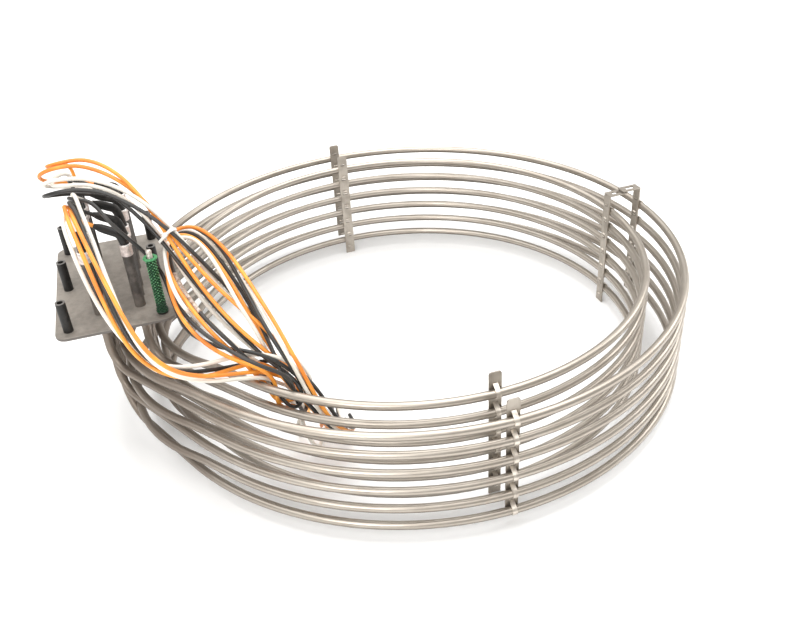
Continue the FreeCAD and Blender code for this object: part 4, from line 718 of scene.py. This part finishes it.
def net_radius(height):
    """Middle of a strand at a height: straight, and flared at the foot."""
    flare = max(0, 1 - height / FLARE_LENGTH)
    return MESH_RADIUS - STRAND_RADIUS + (FLARE_RADIUS - MESH_RADIUS) * flare ** 1.6


mesh_foot = Vector((LONG_STUD.x, LONG_STUD.y, sleeve_low.z))
strand_top = MESH_LENGTH - HEAD_THICK
mesh = bmesh.new()
for heading in (-1, 1):
    for strand in range(STRANDS):
        places = []
        for step in range(STRAND_STEPS + 1):
            level = STRAND_RADIUS + (strand_top - STRAND_RADIUS) * step / STRAND_STEPS
            angle = 2 * math.pi * (strand / STRANDS + heading * level / STRAND_TURN)
            radius = net_radius(level) - (STRAND_WELD if heading > 0 else 0)
            places.append(round_place(mesh_foot, radius, angle, level))
        capped_sweep(mesh, rings_along(places, [STRAND_RADIUS] * len(places), STRAND_SIDES))
hem = [(FLARE_RADIUS - HEM_WIDE, 0), (FLARE_RADIUS, 0),
       (FLARE_RADIUS, HEM_HIGH), (FLARE_RADIUS - HEM_WIDE, HEM_HIGH)]
turned_mesh(mesh, mesh_foot, softened(hem, 0.0003), 36)
dress(mesh_piece("green_netting", mesh), netting, "mesh_green", ["mesh_sleeve"])
mesh = bmesh.new()
knot_step = STRAND_TURN / STRANDS / 2
for row in range(1, int(strand_top / knot_step)):
    radius = net_radius(row * knot_step) + KNOT_RADIUS / 4
    for strand in range(STRANDS):
        angle = 2 * math.pi * (strand + row / 2) / STRANDS
        place = round_place(mesh_foot, radius, angle, row * knot_step)
        bmesh.ops.create_icosphere(mesh, subdivisions=2, radius=KNOT_RADIUS,
                                   matrix=Matrix.Translation(place))
dress(mesh_piece("green_knots", mesh), knot_green, "mesh_green")
mesh = bmesh.new()
core_outside = [(net_radius(level) - STRAND_RADIUS * 0.4, level) for level in (*CORE_LEVELS, strand_top)]
core_inside = [(MESH_BORE, strand_top), (MESH_BORE, CORE_LEVELS[0])]
turned_mesh(mesh, mesh_foot, core_outside + core_inside, 36)
dress(mesh_piece("green_net_core", mesh), net_core, "mesh_green")
mesh = bmesh.new()
disc = softened([(MESH_BORE, strand_top), (HEAD_RADIUS - 0.0004, strand_top),
                 (HEAD_RADIUS, strand_top + HEAD_THICK * 0.5), (HEAD_RADIUS - 0.0005, MESH_LENGTH - 0.0002),
                 (HEAD_RIM, MESH_LENGTH - 0.0007), (MESH_BORE, MESH_LENGTH - 0.0004)], 0.0005)
turned_mesh(mesh, mesh_foot, disc, 48, 0.0004)
dress(mesh_piece("green_disc", mesh), pale_green, "mesh_green")


# Flange plate: cut from thick sheet with rounded corners, drilled for the twelve tube ends, which are
# brazed in, and left as rolled; its face is dull and faintly stained.
FLANGE_CORNER, FLANGE_EDGE, TUBE_HOLE = 0.016, 0.0007, 0.0122
CORNER_STEPS, HOLE_STEPS, SAME_PLACE = 10, 32, 0.00001
flange_low, flange_high = (Vector(corner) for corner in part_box("flange_plate"))
FLANGE_MIDDLE, FLANGE_SIZE = (flange_low + flange_high) / 2, flange_high - flange_low
flange_steel = Finish("flange_steel", Metallic=0.35)
point = flange_steel.point()
height = flange_steel.along("Z", point)
cloud = flange_steel.grain(point, 16, 5, 0.6)
mottle = flange_steel.ease(cloud + 0.35 * flange_steel.grain(point, 120, 4), 0.5, 0.86)
fine = flange_steel.grain(point, 900, 4, 0.7)
plate_colour = flange_steel.blend(mottle, (0.225, 0.202, 0.176), (0.36, 0.325, 0.285))
pitted = flange_steel.ease(fine, 0.5, 0.75)
plate_colour = flange_steel.blend(0.45 * pitted, plate_colour, (0.13, 0.115, 0.1))
edge = flange_steel.ease(height, flange_high.z - 0.0013, flange_high.z - 0.0006)
plate_colour = flange_steel.blend(0.75 * (1 - edge), plate_colour, (0.12, 0.108, 0.1))
flange_steel.surface(plate_colour, 0.5 + 0.2 * mottle)
flange_steel.relief(0.6 * fine + flange_steel.grain(point, 240, 4), 0.18, 0.0004)


def arc_points(middle, radius, start, stop, count):
    """Points of an arc in the plate's plane."""
    return [(middle[0] + radius * math.cos(start + (stop - start) * step / count),
             middle[1] + radius * math.sin(start + (stop - start) * step / count))
            for step in range(count + 1)]


outline = []
half_x, half_y = FLANGE_SIZE.x / 2 - FLANGE_EDGE, FLANGE_SIZE.y / 2 - FLANGE_EDGE
round_corner = FLANGE_CORNER - FLANGE_EDGE
for quarter, (side_x, side_y) in enumerate(((1, 1), (-1, 1), (-1, -1), (1, -1))):
    middle = (side_x * (half_x - round_corner), side_y * (half_y - round_corner))
    start = quarter * math.pi / 2
    outline += arc_points(middle, round_corner, start, start + math.pi / 2, CORNER_STEPS)
plate = bpy.data.curves.new("flange", "CURVE")
plate.dimensions, plate.fill_mode = "2D", "BOTH"
plate.extrude, plate.bevel_depth, plate.bevel_resolution = FLANGE_SIZE.z / 2 - FLANGE_EDGE, FLANGE_EDGE, 2
loops = [outline]
for column_x in (OUTER_X, INNER_X):
    for side in (-1, 1):
        for row in ROWS:
            middle = (column_x - FLANGE_MIDDLE.x, side * row)
            loops.append(arc_points(middle, TUBE_HOLE / 2 + FLANGE_EDGE, 0, 2 * math.pi, HOLE_STEPS)[:-1])
for loop in loops:
    spline = plate.splines.new("POLY")
    spline.points.add(len(loop) - 1)
    for place, (along, across) in zip(spline.points, loop):
        place.co = (along, across, 0, 1)
    spline.use_cyclic_u = True
flange_curve = bpy.data.objects.new("flange_curve", plate)
scene.collection.objects.link(flange_curve)
bpy.context.view_layer.update()
evaluated = flange_curve.evaluated_get(bpy.context.evaluated_depsgraph_get())
data = bpy.data.meshes.new_from_object(evaluated)
bpy.data.objects.remove(flange_curve)
mesh = bmesh.new()
mesh.from_mesh(data)
bpy.data.meshes.remove(data)
bmesh.ops.remove_doubles(mesh, verts=mesh.verts, dist=SAME_PLACE)
bmesh.ops.translate(mesh, verts=mesh.verts, vec=FLANGE_MIDDLE)
flange = mesh_piece("flange", mesh)
flange.data.polygons.foreach_set("use_smooth", [False] * len(flange.data.polygons))
dress(flange, flange_steel, "flange_steel", ["flange_plate"])


# Heating elements: six stainless sheathed tubes, each bent through two turns and up through the flange.
# They are bright where they have only been drawn, and browned by brazing near the flange.
COIL_X = 0.044925
tube_steel = Finish("sheath_steel", Specular_IOR_Level=0.5)
point = tube_steel.point()
x, y, height = (tube_steel.along(axis, point) for axis in "XYZ")
off_axis = x - COIL_X
turn = tube_steel.maths("ARCTAN2", y, off_axis)
out = tube_steel.maths("SQRT", off_axis * off_axis + y * y)
along = tube_steel.node("ShaderNodeCombineXYZ", inputs={"X": 0.22 * turn, "Y": out * 9, "Z": height * 9})
drawn = tube_steel.grain(along, 60, 5, 0.6)
blotch = tube_steel.ease(tube_steel.grain(point, 14, 4, 0.6), 0.4, 0.66)
browned = tube_steel.ease(0.1 * tube_steel.grain(point, 11, 3) - 0.30 - x, 0, 0.12)
tube_colour = tube_steel.blend(drawn, (0.58, 0.53, 0.465), (0.40, 0.355, 0.305))
tube_colour = tube_steel.blend(0.4 * blotch, tube_colour, (0.36, 0.31, 0.255))
tube_colour = tube_steel.blend(0.8 * browned, tube_colour, (0.19, 0.15, 0.12))
# Undersides: where the surface faces down the colour goes dark brown, which is painted shade.
facing = tube_steel.along("Z", tube_steel.node("ShaderNodeTexCoord", output="Normal"))
painted_underside_shade = tube_steel.ease(facing, 0.25, -0.65)
tube_colour = tube_steel.blend(0.8 * painted_underside_shade, tube_colour, (0.085, 0.07, 0.056))
tube_steel.surface(tube_colour, 0.27 + 0.14 * drawn + 0.12 * browned)
tube_steel.feed(tube_steel.shader.inputs["Metallic"], 0.9 - 0.25 * browned)
tube_steel.relief(drawn, 0.12, 0.0003)
for coil in ("outer", "inner"):
    for number in (1, 2, 3):
        dress(nodes[f"{coil}_element_{number}"], tube_steel)


# Bars and straps: slotted strips of stainless sheet that stand in pairs inside the coils, and the bent
# straps that go round each turn and through the slots.
bar_steel = Finish("bar_steel", Metallic=0.85)
point = bar_steel.point()
upright = bar_steel.node("ShaderNodeMapping", {"vector_type": "POINT"},
                         {"Vector": point, "Scale": (1, 1, 0.06)})
lines = bar_steel.grain(upright, 900, 4, 0.6)
smear = bar_steel.ease(bar_steel.grain(point, 45, 4), 0.38, 0.7)
bar_steel.surface(bar_steel.blend(0.5 * lines + 0.4 * smear, (0.48, 0.435, 0.38), (0.27, 0.24, 0.205)),
                  0.32 + 0.2 * smear + 0.1 * lines)
bar_steel.relief(lines, 0.15, 0.0003)
strap_steel = Finish("strap_steel", Metallic=0.85)
point = strap_steel.point()
smear = strap_steel.ease(strap_steel.grain(point, 110, 4), 0.36, 0.7)
strap_steel.surface(strap_steel.blend(smear, (0.72, 0.66, 0.58), (0.45, 0.4, 0.35)), 0.28 + 0.2 * smear)
strap_steel.relief(strap_steel.grain(point, 900, 4), 0.15, 0.0003)
for coil in ("outer", "inner"):
    for which in ("front", "right", "back"):
        dress(nodes[f"{coil}_{which}_bar"], bar_steel)
        dress(nodes[f"{coil}_{which}_clips"], strap_steel)


# Floor and light: a pale floor that runs out of the picture, a large soft light overhead, smaller ones
# from the front left and the right, a broad glow from the ceiling and a pale room all round.
floor_finish = Finish("pale_floor", Roughness=0.9, Specular_IOR_Level=0.1)
point = floor_finish.point()
floor_finish.feed(floor_finish.shader.inputs["Base Color"],
                  floor_finish.blend(floor_finish.grain(point, 3), (0.95, 0.95, 0.945), (0.97, 0.97, 0.965)))
mesh = bmesh.new()
bmesh.ops.create_grid(mesh, x_segments=8, y_segments=8, size=9)
bmesh.ops.translate(mesh, verts=mesh.verts, vec=(0, 4, -0.0005))
floor = mesh_piece("floor", mesh)
floor.data.materials.append(floor_finish.material)
SOFT_LIGHTS = (("overhead", (0.3, 0.2, 2.6), 34, 2.6), ("front_left", (-1.6, -2.2, 1.7), 30, 1.2),
               ("right", (2.4, 0.2, 1.4), 16, 1.2))
LIT_SPOT = Vector((0, 0, 0.15))
for name, place, power, size in SOFT_LIGHTS:
    light_data = bpy.data.lights.new(name, "AREA")
    light_data.energy, light_data.size = power, size
    light = bpy.data.objects.new(name, light_data)
    light.location = place
    light.rotation_euler = (LIT_SPOT - Vector(place)).to_track_quat("-Z", "Y").to_euler()
    scene.collection.objects.link(light)
ceiling_data = bpy.data.lights.new("ceiling", "SUN")
ceiling_data.energy, ceiling_data.angle = 2.3, 1.7
ceiling = bpy.data.objects.new("ceiling", ceiling_data)
ceiling.rotation_euler = (math.radians(-8), math.radians(-6), 0)
scene.collection.objects.link(ceiling)
world = bpy.data.worlds.new("room")
world.use_nodes = True
world.node_tree.nodes["Background"].inputs["Color"].default_value = (1, 0.98, 0.95, 1)
world.node_tree.nodes["Background"].inputs["Strength"].default_value = 0.52
scene.world = world
scene.view_settings.view_transform = "Standard"
